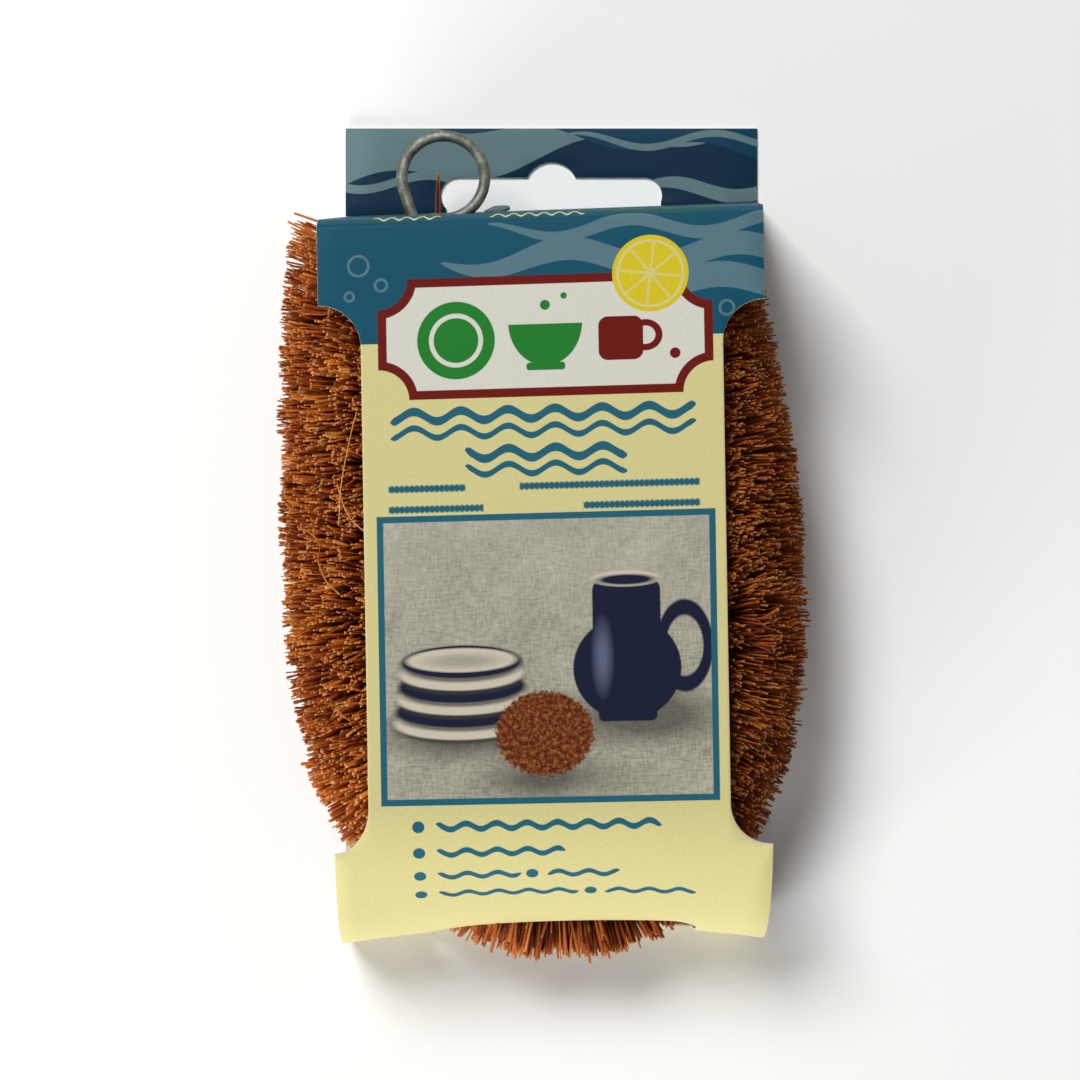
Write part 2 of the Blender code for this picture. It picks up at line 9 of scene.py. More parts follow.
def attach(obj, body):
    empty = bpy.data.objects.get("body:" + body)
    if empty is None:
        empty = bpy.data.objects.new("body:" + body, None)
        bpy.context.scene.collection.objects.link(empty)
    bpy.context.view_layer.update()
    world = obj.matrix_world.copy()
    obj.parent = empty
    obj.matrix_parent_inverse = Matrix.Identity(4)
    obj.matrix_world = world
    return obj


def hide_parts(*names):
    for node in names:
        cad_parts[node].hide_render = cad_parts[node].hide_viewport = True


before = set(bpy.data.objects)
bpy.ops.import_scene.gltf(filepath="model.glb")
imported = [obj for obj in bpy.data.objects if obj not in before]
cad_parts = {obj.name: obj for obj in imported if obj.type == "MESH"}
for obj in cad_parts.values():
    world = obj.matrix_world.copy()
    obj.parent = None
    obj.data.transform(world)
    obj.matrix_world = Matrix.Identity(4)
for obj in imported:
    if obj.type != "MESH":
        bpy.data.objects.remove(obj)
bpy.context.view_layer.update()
mm = 0.001


def newObject(name, data):
    made = bpy.data.objects.new(name, data)
    bpy.context.scene.collection.objects.link(made)
    return made


def addSpline(curve, points, closed=False):
    # points are rows of x, y and z
    spline = curve.splines.new("POLY")
    spline.points.add(len(points) - 1)
    spline.points.foreach_set("co", np.column_stack([points, np.ones(len(points))]).ravel())
    spline.use_cyclic_u = closed
    return spline


def curveMesh(curve):
    drawn = newObject(curve.name, curve)
    bpy.context.view_layer.update()
    mesh = bpy.data.meshes.new_from_object(drawn.evaluated_get(bpy.context.evaluated_depsgraph_get()))
    bpy.data.objects.remove(drawn)
    return mesh


def hexColour(code):
    parts = [int(code[i:i + 2], 16) / 255 for i in (1, 3, 5)]
    return tuple(c / 12.92 if c <= 0.04045 else ((c + 0.055) / 1.055) ** 2.4 for c in parts) + (1.0,)


def addNode(tree, kind, inputs=(), operation=None, **settings):
    # inputs go by socket name or number, or as a plain row in the node's own order, which is value, from and to
    # for a map range, and place, w, scale, detail and roughness for a noise
    node = tree.nodes.new("ShaderNode" + kind)
    if operation:
        node.operation = operation
    for name, value in settings.items():
        setattr(node, name, value)
    for socket, value in inputs.items() if isinstance(inputs, dict) else enumerate(inputs):
        if isinstance(value, bpy.types.Node):
            value = next(out for out in value.outputs if out.enabled)
        if isinstance(value, bpy.types.NodeSocket):
            tree.links.new(value, node.inputs[socket])
        else:
            node.inputs[socket].default_value = value
    return node


def newMaterial(name):
    made = bpy.data.materials.new(name)
    made.use_nodes = True
    made.node_tree.nodes.clear()
    return made, made.node_tree


def setRamp(node, stops):
    ramp = node.color_ramp
    while len(ramp.elements) < len(stops):
        ramp.elements.new(0.5)
    for element, (place, colour) in zip(ramp.elements, stops):
        element.position = place
        element.color = hexColour(colour)


def addPiece(name, mesh, materials, body, nodes):
    piece = newObject(name, mesh)
    for each in materials:
        piece.data.materials.append(each)
    if nodes:
        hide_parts(*nodes)
    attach(piece, body)


# the photograph's camera, which looks straight down on the front panel
view = {"place": (-0.8 * mm, -0.55 * mm, 533 * mm), "lens": 96.2, "sensor": 36, "clip": 10 * mm}

cameraData = bpy.data.cameras.new("camera")
cameraData.lens = view["lens"]
cameraData.sensor_width = view["sensor"]
cameraData.clip_start = view["clip"]
camera = newObject("camera", cameraData)
camera.location = view["place"]
bpy.context.scene.camera = camera
bpy.context.scene.view_settings.view_transform = "Standard"


# floor, lamps and world
studio = {
    "floor": "#F8F8F6", "floorLift": 0.03, "floorHalf": 4.0, "floorDrop": 0.1 * mm, "fill": 0.17,
    "aim": Vector((0, 0, 20 * mm)),
    # lamps: name, watts, width, height and place
    "lamps": (("key", 22.2, 0.60, 0.60, (-0.50, 0.80, 1.32)), ("low", 14.5, 0.70, 0.20, (-0.62, -0.89, 0.175))),
}


def makeStudio():
    world = bpy.data.worlds.new("studio")
    bpy.context.scene.world = world
    world.use_nodes = True
    tree = world.node_tree
    tree.nodes.clear()
    # white where it is seen, dimmer as a light
    rays = addNode(tree, "LightPath").outputs
    seen = addNode(tree, "Math", (rays["Is Camera Ray"], rays["Is Transmission Ray"]), "MAXIMUM")
    seen = addNode(tree, "Math", (seen, rays["Is Glossy Ray"]), "MAXIMUM")
    strength = addNode(tree, "MapRange", (seen, 0, 1, studio["fill"], 1))
    light = addNode(tree, "Background", {"Color": (1, 1, 1, 1), "Strength": strength})
    addNode(tree, "OutputWorld", {"Surface": light})

    for name, watts, width, height, place in studio["lamps"]:
        lampData = bpy.data.lights.new(name, "AREA")
        lampData.shape = "RECTANGLE"
        lampData.energy = watts
        lampData.size, lampData.size_y = width, height
        lamp = newObject(name, lampData)
        lamp.location = place
        lamp.rotation_euler = (studio["aim"] - Vector(place)).to_track_quat("-Z", "Y").to_euler()

    # white paper, a little lifted where the camera sees it
    paper, tree = newMaterial("white_paper_floor")
    rays = addNode(tree, "LightPath").outputs
    diffuse = addNode(tree, "BsdfDiffuse", {"Color": hexColour(studio["floor"])})
    lift = addNode(tree, "Math", (rays["Is Camera Ray"], studio["floorLift"]), "MULTIPLY")
    glow = addNode(tree, "Emission", {"Color": (1, 1, 1, 1), "Strength": lift})
    both = addNode(tree, "AddShader", (diffuse, glow))
    addNode(tree, "OutputMaterial", {"Surface": both})
    bm = bmesh.new()
    bmesh.ops.create_grid(bm, x_segments=1, y_segments=1, size=studio["floorHalf"])
    bmesh.ops.translate(bm, verts=bm.verts, vec=(0, 0, -studio["floorDrop"]))
    mesh = bpy.data.meshes.new("floor")
    bm.to_mesh(mesh)
    bm.free()
    mesh.materials.append(paper)
    floor = newObject("floor", mesh)


# the stem that wire and fibres share: two limbs and a half-oval bend
stem = {
    "limbOffset": 23.8 * mm, "limbLean": 5.6 * mm, "bendY": -14.15 * mm, "bendDepth": 38.0 * mm,
    "topY": 52.3 * mm, "shortDrop": 4.9 * mm, "height": 21.4 * mm, "turn": math.radians(3.2), "x": -0.5 * mm,
    "turns": 22, "neck": 4.9 * mm, "stub": 1.0 * mm,
}
up = np.array([0, 0, 1.0])


def stemPath():
    limb = np.linspace(0, 1, 120)
    span = stem["topY"] - stem["bendY"]
    around = np.linspace(0, math.pi, 240)[1:-1]
    short = (span - stem["shortDrop"]) / span
    leftX = -(stem["limbOffset"] - stem["limbLean"] * (1 - limb) ** 2)
    rightX = stem["limbOffset"] - stem["limbLean"] * (short * limb) ** 2
    x = np.concatenate([leftX, -stem["limbOffset"] * np.cos(around), rightX])
    y = np.concatenate([stem["topY"] - span * limb, stem["bendY"] - stem["bendDepth"] * np.sin(around),
                        stem["bendY"] + span * short * limb])
    steps = np.hypot(np.diff(x), np.diff(y))
    return np.stack([x, y], -1), np.concatenate([[0], np.cumsum(steps)])


stemPoints, stemAlong = stemPath()
stemLength = stemAlong[-1]


def stemAt(s):
    flat = [np.interp(s, stemAlong, stemPoints[:, i]) for i in (0, 1)]
    return np.stack([flat[0], flat[1], np.zeros_like(flat[0])], -1)


def stemFrame(s):
    near = 0.8 * mm
    along = stemAt(np.minimum(s + near, stemLength)) - stemAt(np.maximum(s - near, 0))
    along /= np.linalg.norm(along, axis=-1, keepdims=True)
    outward = np.stack([along[..., 1], -along[..., 0], np.zeros_like(along[..., 0])], -1)
    return stemAt(s), along, outward


def toObject(points):
    turn = np.array(Matrix.Rotation(stem["turn"], 3, "Z"))
    return points @ turn.T + np.array([stem["x"], 0, stem["height"]])


eyeFootX = toObject(stemAt(np.array([0.0])))[0, 0]


# card sleeve: one strip of board, cut flat and folded round the brush
sleeve = {
    "card": 0.5 * mm, "width": 76.0 * mm, "x": 1.3 * mm, "depth": 42.5 * mm, "creaseY": 60.2 * mm,
    "frontTop": 55.0 * mm, "curveY": -45.4 * mm, "bottomY": -73.3 * mm,
    # the two soft creases: y, drop below the front and half length
    "folds": ((53.95 * mm, 0.0, 0.6 * mm), (55.2 * mm, 1.95 * mm, 1.0 * mm)),
    "lowHeight": 6.0 * mm, "lowLength": 4.5 * mm, "slant": math.tan(math.radians(0.95)),
    "topSkew": math.radians(2.0), "lowSkew": math.radians(0.9), "bow": 2.9 * mm,
    "waist": 61.6 * mm, "notchTop": 39.9 * mm, "notchBottom": -53.0 * mm,
    "holeX": 1.75 * mm, "holeWidth": 50.5 * mm, "holeTop": 22.6 * mm, "holeLow": 5.2 * mm, "holeCorner": 5.5 * mm,
    "holeSweep": 13.5 * mm, "holeRise": 14.0 * mm, "holeTilt": 0.08, "holeLowCorner": 1.1 * mm,
    "flangeInset": 1.2 * mm, "flangeDrop": 0.7 * mm, "insetFrom": -86 * mm, "insetTo": -100 * mm,
    "eyeHoleX": 3.6 * mm, "eyeHoleWidth": 14.6 * mm, "eyeHoleHeight": 6.2 * mm, "edgeRound": 0.07 * mm,
}


def arc(cx, cy, rx, ry, start, end, steps):
    turns = np.radians(np.linspace(start, end, steps + 1))
    return list(zip(cx + rx * np.cos(turns), cy + ry * np.sin(turns)))


def roundedCorner(before, corner, after, length, steps):
    before, corner, after = (np.array(place) for place in (before, corner, after))
    start = corner + (before - corner) * length / np.linalg.norm(before - corner)
    end = corner + (after - corner) * length / np.linalg.norm(after - corner)
    ways = np.linspace(0, 1, steps + 1)[:, None]
    return [tuple(place) for place in start * (1 - ways) ** 2 + corner * 2 * ways * (1 - ways) + end * ways ** 2]


def sleeveProfile():
    # the middle of the card from the side, as (y, z): back panel, lower fold, front and upper panel
    half = sleeve["card"] / 2
    high = sleeve["depth"] - half
    low = sleeve["bottomY"] + half
    crease = (sleeve["creaseY"], half)
    points = [crease]
    points += arc(low + sleeve["lowLength"], sleeve["lowHeight"], sleeve["lowLength"],
                  sleeve["lowHeight"] - half, 270, 180, 12)
    points += arc(sleeve["curveY"], sleeve["lowHeight"], sleeve["curveY"] - low,
                  high - sleeve["lowHeight"], 180, 90, 60)[1:]
    curveEnd = len(points) - 1
    # the card turns over in two soft creases
    first, second = [(y, high - drop) for y, drop, _ in sleeve["folds"]]
    points += roundedCorner(points[-1], first, second, sleeve["folds"][0][2], 5)
    points += roundedCorner(first, second, crease, sleeve["folds"][1][2], 7)
    points += [crease]
    points = np.array(points)
    steps = np.linalg.norm(np.diff(points, axis=0), axis=1)
    along = np.concatenate([[0], np.cumsum(steps)])
    return points, along - along[curveEnd] + sleeve["curveY"]  # on the front, the length equals y


profile, profileAlong = sleeveProfile()


def profileAt(v):
    return np.stack([np.interp(v, profileAlong, profile[:, i]) for i in (0, 1)], -1)


def profileNormal(v):
    near = 0.15 * mm
    low, high = np.maximum(v - near, profileAlong[0]), np.minimum(v + near, profileAlong[-1])
    way = profileAt(high) - profileAt(low)
    way /= np.linalg.norm(way, axis=-1, keepdims=True)
    normal = np.stack([-way[..., 1], way[..., 0]], -1)
    lean = (sleeve["creaseY"] - sleeve["frontTop"]) / sleeve["depth"]
    mitre = np.array([math.hypot(1, lean) + lean, -1.0])  # both ends of the strip meet at the crease
    atEnd = (v < profileAlong[0] + 0.01 * mm) | (v > profileAlong[-1] - 0.01 * mm)
    return np.where(atEnd[..., None], mitre, normal)


def askewAt(y, z):
    # the slope across the sleeve, its sideways lean, and the bow of its lower end
    rise = (y - sleeve["bottomY"]) / (sleeve["creaseY"] - sleeve["bottomY"])
    skew = np.tan(sleeve["lowSkew"] + (sleeve["topSkew"] - sleeve["lowSkew"]) * rise)
    lean = sleeve["slant"] * z / sleeve["depth"] * (y - sleeve["bottomY"])
    low = np.clip((sleeve["curveY"] - y) / (sleeve["curveY"] - sleeve["bottomY"]), 0, 1)
    return skew, lean, sleeve["bow"] * low * low


def wrapAskew(x, y, z):
    skew, lean, bow = askewAt(y, z)
    across = (x - sleeve["x"]) / (sleeve["width"] / 2)
    return -lean, skew * (x - sleeve["x"]) + bow * (1 - across ** 2)


def foldCard(flat):
    # flat points are (across, along the strip, out of the card)
    side = profileAt(flat[:, 1]) + profileNormal(flat[:, 1]) * flat[:, 2:3]
    x, y, z = sleeve["x"] + flat[:, 0], side[:, 0], side[:, 1]
    shiftX, shiftY = wrapAskew(x, y, z)
    return np.stack([x + shiftX, y + shiftY, z], -1)


def frontPlace(x, y):
    # where a point seen from the front lies on the flat card
    front = profileAlong > sleeve["curveY"] - 60 * mm  # not the back panel
    front &= profileAlong <= sleeve["folds"][0][0] - sleeve["folds"][0][2] + 0.01 * mm
    ways, heights = profileAlong[front], profile[front]
    straightX, straightY = x, y
    for _ in range(8):
        z = np.interp(straightY, heights[:, 0], heights[:, 1])
        shiftX, shiftY = wrapAskew(straightX, straightY, z)
        straightX, straightY = x - shiftX, y - shiftY
    return float(straightX - sleeve["x"]), float(np.interp(straightY, heights[:, 0], ways))


def wallPlace(x, z, lower):
    # where a point at this height on the lower curve or on the upper panel lies on the flat card
    if lower:
        part = (profileAlong < sleeve["curveY"]) & (profile[:, 0] < sleeve["creaseY"] - 1 * mm)
    else:
        part = profileAlong > sleeve["frontTop"] - 1 * mm
    ways, places = profileAlong[part], profile[part]
    order = np.argsort(places[:, 1])
    v = np.interp(z, places[order, 1], ways[order])
    y = profileAt(np.array([v]))[0, 0]
    shiftX, _ = wrapAskew(x, y, z)
    return float(x - shiftX - sleeve["x"]), float(v)


def cutCard(name, outlines):
    # a flat card with these outlines, the first one its edge and the others holes
    curve = bpy.data.curves.new(name, "CURVE")
    curve.dimensions = "2D"
    curve.fill_mode = "BOTH"
    curve.bevel_depth = sleeve["edgeRound"]
    curve.bevel_resolution = 1
    curve.offset = -sleeve["edgeRound"]
    curve.extrude = sleeve["card"] / 2 - sleeve["edgeRound"]
    for outline in outlines:
        addSpline(curve, [(x, y, 0) for x, y in outline], closed=True)
    bm = bmesh.new()
    bm.from_mesh(curveMesh(curve))
    bmesh.ops.remove_doubles(bm, verts=bm.verts, dist=0.002 * mm)
    bmesh.ops.recalc_face_normals(bm, faces=bm.faces)
    bmesh.ops.dissolve_limit(bm, angle_limit=math.radians(0.5), verts=bm.verts, edges=bm.edges)
    return bm


def scoreCard(bm, places, normal, clear=False):
    for place in places:
        geometry = bm.verts[:] + bm.edges[:] + bm.faces[:]
        bmesh.ops.bisect_plane(bm, geom=geometry, dist=1e-7, plane_co=place, plane_no=normal, clear_outer=clear)


def scoreAcross(bm, places):
    scoreCard(bm, [(0, place, 0) for place in places], (0, 1, 0))


def scoreAlong(bm, places):
    scoreCard(bm, [(place, 0, 0) for place in places], (1, 0, 0))


def finishCard(bm, name, fold, footTop=None):
    # the printed face is up while the card lies flat; other faces are bare board, but for an inked foot
    printMap = bm.loops.layers.uv.new("flatCard")
    for face in bm.faces:
        foot = footTop is not None and face.normal.y < -0.3 and face.calc_center_median().y < footTop
        face.material_index = 0 if face.normal.z > 0.9 or foot else 1
        face.smooth = True
        for loop in face.loops:
            loop[printMap].uv = (loop.vert.co.x / mm, loop.vert.co.y / mm)
    bmesh.ops.triangulate(bm, faces=[f for f in bm.faces if len(f.verts) > 4])
    flat = np.array([vert.co[:] for vert in bm.verts])
    for vert, place in zip(bm.verts, fold(flat)):
        vert.co = place
    mesh = bpy.data.meshes.new(name)
    bm.to_mesh(mesh)
    bm.free()
    mesh.set_sharp_from_angle(angle=math.radians(24))  # crisp cut edges, round folds
    return mesh


def makeSleeveMesh():
    half, waist = sleeve["width"] / 2, sleeve["waist"] / 2
    corner = half - waist
    startV, endV = profileAlong[0], profileAlong[-1]
    turn = math.atan(sleeve["slant"])

    def notch(side):
        points = arc(half, sleeve["notchTop"] - corner, corner, corner, 90, 180, 16)
        points += arc(half, sleeve["notchBottom"] + corner, corner, corner, 180, 270, 16)
        placed = []
        for x, y in points:
            dx, dy = side * x, y - sleeve["bottomY"]
            worldX = sleeve["x"] + dx * math.cos(turn) - dy * math.sin(turn)
            worldY = sleeve["bottomY"] + dx * math.sin(turn) + dy * math.cos(turn)
            placed.append(frontPlace(worldX, worldY))
        placed[0] = (side * half, placed[0][1])
        placed[-1] = (side * half, placed[-1][1])
        return placed

    past = 2 * mm
    edge = [(-half, startV - past), (half, startV - past)] + notch(1)[::-1]
    # the lower flange is a little narrower at its left
    left, inset = notch(-1), sleeve["flangeInset"]
    for i, (x, v) in enumerate(left[len(left) // 2:], len(left) // 2):
        out = (-x - waist) / corner
        left[i] = (x + inset * out, v - sleeve["flangeDrop"] * out)
    edge += [(half, endV + past), (-half, endV + past)] + left
    edge += [(inset * 0.4 - half, sleeve["insetFrom"]), (-half, sleeve["insetTo"])]
    reach, bend, low = sleeve["holeWidth"] / 2, sleeve["holeCorner"], sleeve["holeLow"]
    lowHole = arc(reach - bend, sleeve["holeTop"] - bend, bend, bend, 0, 90, 10)
    lowHole += arc(sleeve["holeSweep"] - reach, sleeve["holeTop"] - sleeve["holeRise"], sleeve["holeSweep"],
                   sleeve["holeRise"], 90, 180, 16)
    lowHole = [(x, z + sleeve["holeTilt"] * x) for x, z in lowHole]
    bend = sleeve["holeLowCorner"]
    lowHole += arc(bend - reach, low + bend, bend, bend, 180, 270, 4)
    lowHole += [(x, low) for x in np.linspace(bend - reach, reach - bend, 13)[1:-1]]
    lowHole += arc(reach - bend, low + bend, bend, bend, 270, 360, 4) + [(reach, sleeve["holeTop"] * 0.6)]
    lowHole = [wallPlace(sleeve["holeX"] + x, z, True) for x, z in lowHole]
    reach, bend = sleeve["eyeHoleWidth"] / 2, sleeve["eyeHoleHeight"] / 2
    eyeHole = arc(reach - bend, 0, bend, bend, -90, 90, 12) + arc(bend - reach, 0, bend, bend, 90, 270, 12)
    eyeHole = [wallPlace(eyeFootX + sleeve["eyeHoleX"] + x, stem["height"] + z, False) for x, z in eyeHole]
    bm = cutCard("sleeve_cut", [edge, lowHole, eyeHole])

    # scores: at the profile's points, every second one round the lower curve, and every few millimetres between
    scores = [*profileAlong[1:14], *profileAlong[14:74:2], *profileAlong[73:-1]]
    scores += [*np.arange(sleeve["curveY"] + 3 * mm, sleeve["frontTop"] - 4 * mm, 4 * mm)]
    scores += [*np.arange(startV + 2 * mm, profileAlong[1] - 1 * mm, 6 * mm)]
    scores += [*np.arange(profileAlong[-2] + 2 * mm, endV - 2 * mm, 4 * mm), startV + 0.4 * mm, endV - 0.4 * mm]
    scoreAcross(bm, sorted(scores))
    scoreAlong(bm, np.linspace(-half, half, 21)[1:-1])
    for place, way in ((startV, -1), (endV, 1)):
        scoreCard(bm, [(0, place, 0)], (0, way, 0), clear=True)
    mesh = finishCard(bm, "card_sleeve_visual", foldCard)
    bm = bmesh.new()
    bm.from_mesh(mesh)
    bmesh.ops.remove_doubles(bm, verts=[v for v in bm.verts if v.is_boundary], dist=0.02 * mm)
    # hairline gaps where one end has a point more than the other
    for face in bmesh.ops.holes_fill(bm, edges=[e for e in bm.edges if e.is_boundary], sides=3)["faces"]:
        face.material_index, face.smooth = 1, True
    bm.to_mesh(mesh)
    bm.free()
    return mesh


# flap: the tongue punched out of the eye's hole, turned over at the hole's right end
flap = {
    "long": 4.4 * mm, "half": 2.3 * mm, "nose": 1.4 * mm, "gap": 0.2 * mm,
    "lift": 0.52 * mm, "rise": 0.1 * mm, "twist": 0.6 * mm, "bend": 0.35,
}


def makeFlapMesh():
    right = eyeFootX + sleeve["eyeHoleX"] + sleeve["eyeHoleWidth"] / 2 + flap["gap"]
    hinge, level = wallPlace(right, stem["height"], False)
    long, half, nose = flap["long"], flap["half"], hinge + flap["long"] - flap["nose"]
    outline = [(hinge, level - half), (nose, level - half)]
    outline += arc(nose, level, flap["nose"], half, -80, 80, 8) + [(nose, level + half), (hinge, level + half)]
    bm = cutCard("flap_cut", [outline])
    scoreAlong(bm, hinge + long * np.linspace(0.15, 0.85, 5))

    def turnOver(flat):
        along = np.clip((flat[:, 0] - hinge) / (flap["bend"] * long), 0, 1)
        twist = np.clip((flat[:, 1] - level + half) / (2 * half), 0, 1)
        lift = flap["lift"] + (flap["rise"] + flap["twist"] * twist) * along
        return foldCard(flat + lift[:, None] * up)

    return finishCard(bm, "eye_hole_flap", turnOver, footTop=1.0)


# hang tab: a single layer of the same board with a peg slot
tab = {
    "top": 75.4 * mm, "gap": 0.6 * mm, "slotWidth": 40.8 * mm, "slotTop": 66.3 * mm, "slotEnd": 3.3 * mm,
    "bumpRadius": 4.9 * mm, "bumpRise": 2.8 * mm, "foot": 0.22 * mm,
}


def makeTabMesh():
    half, axisY = sleeve["width"] / 2, sleeve["creaseY"] + tab["gap"]
    tilt = math.tan(sleeve["topSkew"])
    top, slotTop = tab["top"] - axisY, tab["slotTop"] - axisY
    slot, radius, bump = tab["slotWidth"] / 2, tab["slotEnd"], tab["bumpRadius"]
    turn = math.degrees(math.asin((bump - tab["bumpRise"]) / bump))
    path = arc(radius - slot, slotTop - radius, radius, radius, 225, 90, 16)
    path += arc(0, slotTop + tab["bumpRise"] - bump, bump, bump, 180 - turn, turn, 16)
    path += arc(slot - radius, slotTop - radius, radius, radius, 90, -45, 16)
    clear = [(x, y) for x, y in path if y > tilt * x + 0.1 * mm]
    left = [(x, tilt * x - tab["foot"]) for x in (-half, clear[0][0])]
    right = [(x, tilt * x - tab["foot"]) for x in (clear[-1][0], half)]
    bm = cutCard("tab_cut", [left + clear + right + [(half, top), (-half, top)]])
    scoreAlong(bm, np.linspace(-half, half, 13)[1:-1])
    scoreAcross(bm, np.arange(-2 * mm, top, 3 * mm))
    place = np.array([sleeve["x"], axisY, sleeve["card"] / 2])
    return finishCard(bm, "hang_tab_visual", lambda flat: flat + place, footTop=1.6 * mm)


# print: water waves, crockery and ripples of ink, drawn in millimetres on the flat card
ink = {
    # the tab's deep and mid teal are the sleeve's teal painted darker: painted shade
    "teal": "#0F4B60", "shadedMidTeal": "#0D3A52", "shadedTeal": "#05283D", "paleTeal": "#56757F", "flapTeal": "#566E6E",
    "greyTeal": "#607A7D", "yellow": "#CFC68A", "white": "#D0CFC3", "red": "#631008", "green": "#1F7529",
    "lemon": "#CFBC22", "leaf": "#1C4F33", "frame": "#205C6E", "linen": "#A19D8C", "navy": "#10152C",
    "cream": "#C6BEAB", "coir": "#632D11", "shade": "#35342F", "glint": "#6F7995", "rubbed": "#C9C6BB",
    "soft": 0.05, "headLevel": 33.6, "backHead": -214.0, "picture": (0.2, -20.6), "pictureSize": (55.4, 47.2),
    "pictureLine": 1.1, "plates": 6, "plateStep": 2.1, "lowPlate": (-14.6, -31.4), "plateSize": (23.0, 5.6),
}


def layOver(tree, below, value, start, end, colour, strength=1.0):
    # lays a colour over what is below, more and more as the value goes from start to end
    share = addNode(tree, "MapRange", (value, start, end, 0, strength))
    if isinstance(colour, str):
        colour = hexColour(ink.get(colour, colour))
    return addNode(tree, "Mix", {"Factor": share, 6: below, 7: colour}, data_type="RGBA")


def inkOn(tree, below, distance, colour, soft=ink["soft"], strength=1.0):
    return layOver(tree, below, distance, soft, -soft, colour, strength)


def away(tree, value, centre):
    # how far a value is from another, either way
    off = addNode(tree, "Math", (value, centre), "SUBTRACT")
    return addNode(tree, "Math", (off,), "ABSOLUTE")


def awayFromPoint(tree, place, centre):
    off = addNode(tree, "VectorMath", (place, (*centre, 0)), "SUBTRACT")
    return addNode(tree, "VectorMath", (off,), "ABSOLUTE")


def ellipseShape(tree, place, centre, size):
    # distance in millimetres from an oval's edge, below zero inside it
    off = addNode(tree, "VectorMath", (place, (*centre, 0)), "SUBTRACT")
    scaled = addNode(tree, "VectorMath", (off, (size[0] / 2, size[1] / 2, 1)), "DIVIDE")
    length = addNode(tree, "VectorMath", (scaled,), "LENGTH")
    smaller = min(size) / 2
    return addNode(tree, "Math", (length, smaller, -smaller), "MULTIPLY_ADD")


def boxShape(tree, place, centre, size, corner=0.0):
    inner = (size[0] / 2 - corner, size[1] / 2 - corner, 1)
    off = addNode(tree, "VectorMath", (awayFromPoint(tree, place, centre), inner), "SUBTRACT")
    outside = addNode(tree, "VectorMath", (off, (0, 0, -1)), "MAXIMUM")
    outside = addNode(tree, "VectorMath", (outside, (1, 1, 0)), "MULTIPLY")
    length = addNode(tree, "VectorMath", (outside,), "LENGTH")
    parts = addNode(tree, "SeparateXYZ", (off,)).outputs
    inside = addNode(tree, "Math", (parts["X"], parts["Y"]), "MAXIMUM")
    inside = addNode(tree, "Math", (inside, 0.0), "MINIMUM")
    both = addNode(tree, "Math", (length, inside), "ADD")
    return addNode(tree, "Math", (both, corner), "SUBTRACT")


def ringShape(tree, distance, thick):
    edge = addNode(tree, "Math", (distance,), "ABSOLUTE")
    return addNode(tree, "Math", (edge, thick / 2), "SUBTRACT")


def waveLine(tree, across, level, height, wave, phase):
    turned = addNode(tree, "Math", (across, 2 * math.pi / wave, phase), "MULTIPLY_ADD")
    swing = addNode(tree, "Math", (turned,), "SINE")
    return addNode(tree, "Math", (swing, height, level), "MULTIPLY_ADD")


def rippleShape(tree, place, start, end, level, height, wave, thick, phase=0.0, taper=0.8):
    # a wavy stroke from start to end at this level, which thins out at its ends
    parts = addNode(tree, "SeparateXYZ", (place,)).outputs
    off = away(tree, parts["Y"], waveLine(tree, parts["X"], level, height, wave, phase))
    side = addNode(tree, "Math", (away(tree, parts["X"], (start + end) / 2), (end - start) / 2), "SUBTRACT")
    swell = addNode(tree, "MapRange", (side, 0, -taper))
    swell = addNode(tree, "Math", (swell, 0.55), "POWER")
    off = addNode(tree, "Math", (swell, -thick / 2, off), "MULTIPLY_ADD")
    return addNode(tree, "Math", (off, side), "MAXIMUM")


def levelShape(tree, place, level, above=True):
    height = addNode(tree, "SeparateXYZ", (place,)).outputs["Y"]
    return addNode(tree, "Math", (level, height) if above else (height, level), "SUBTRACT")


def inkShapes(tree, place, colour, shapes):
    # rows of ink, soft edge, strength, centre and size, then a box's corner and a ring's line where there is one
    for name, soft, strength, centre, size, *more in shapes:
        corner, line = (more + [None, None])[:2]
        if corner is None:
            shape = ellipseShape(tree, place, centre, size)
        else:
            shape = boxShape(tree, place, centre, size, corner)
        if line:
            shape = ringShape(tree, shape, line)
        colour = inkOn(tree, colour, shape, name, soft, strength)
    return colour


def inkRipples(tree, place, colour, name, strength, ripples):
    # rows of start, end, level, height, wave and thick, then phase and taper where they differ
    for ripple in ripples:
        colour = inkOn(tree, colour, rippleShape(tree, place, *ripple), name, strength=strength)
    return colour


def paintWaves(tree, place, colour):
    # pale bands of water across the head of the sleeve, thicker to the right, and bubbles
    colour = inkRipples(tree, place, colour, "paleTeal", 0.94, (
        (-17, 70, 47.2, 1.7, 29, 4.0, 0.6, 18), (4, 70, 41.8, 1.9, 33, 4.4, 2.1, 18),
        (-9, 70, 52.2, 1.3, 25, 2.2, 4.0, 18), (6, 70, 61.5, 2.2, 34, 5.0, 1.2, 18),
        (-38, 70, 88.0, 2.2, 38, 4.0, 0.0, 18),
    ))
    bubbles = (((-31, 47), 3.4), ((-27.2, 43.6), 2.0), ((-32.6, 41.8), 1.5), ((31.5, 38.0), 2.4))
    return inkShapes(tree, place, colour, [
        ("paleTeal", ink["soft"], 0.9, centre, (width, width), None, 0.45) for centre, width in bubbles])


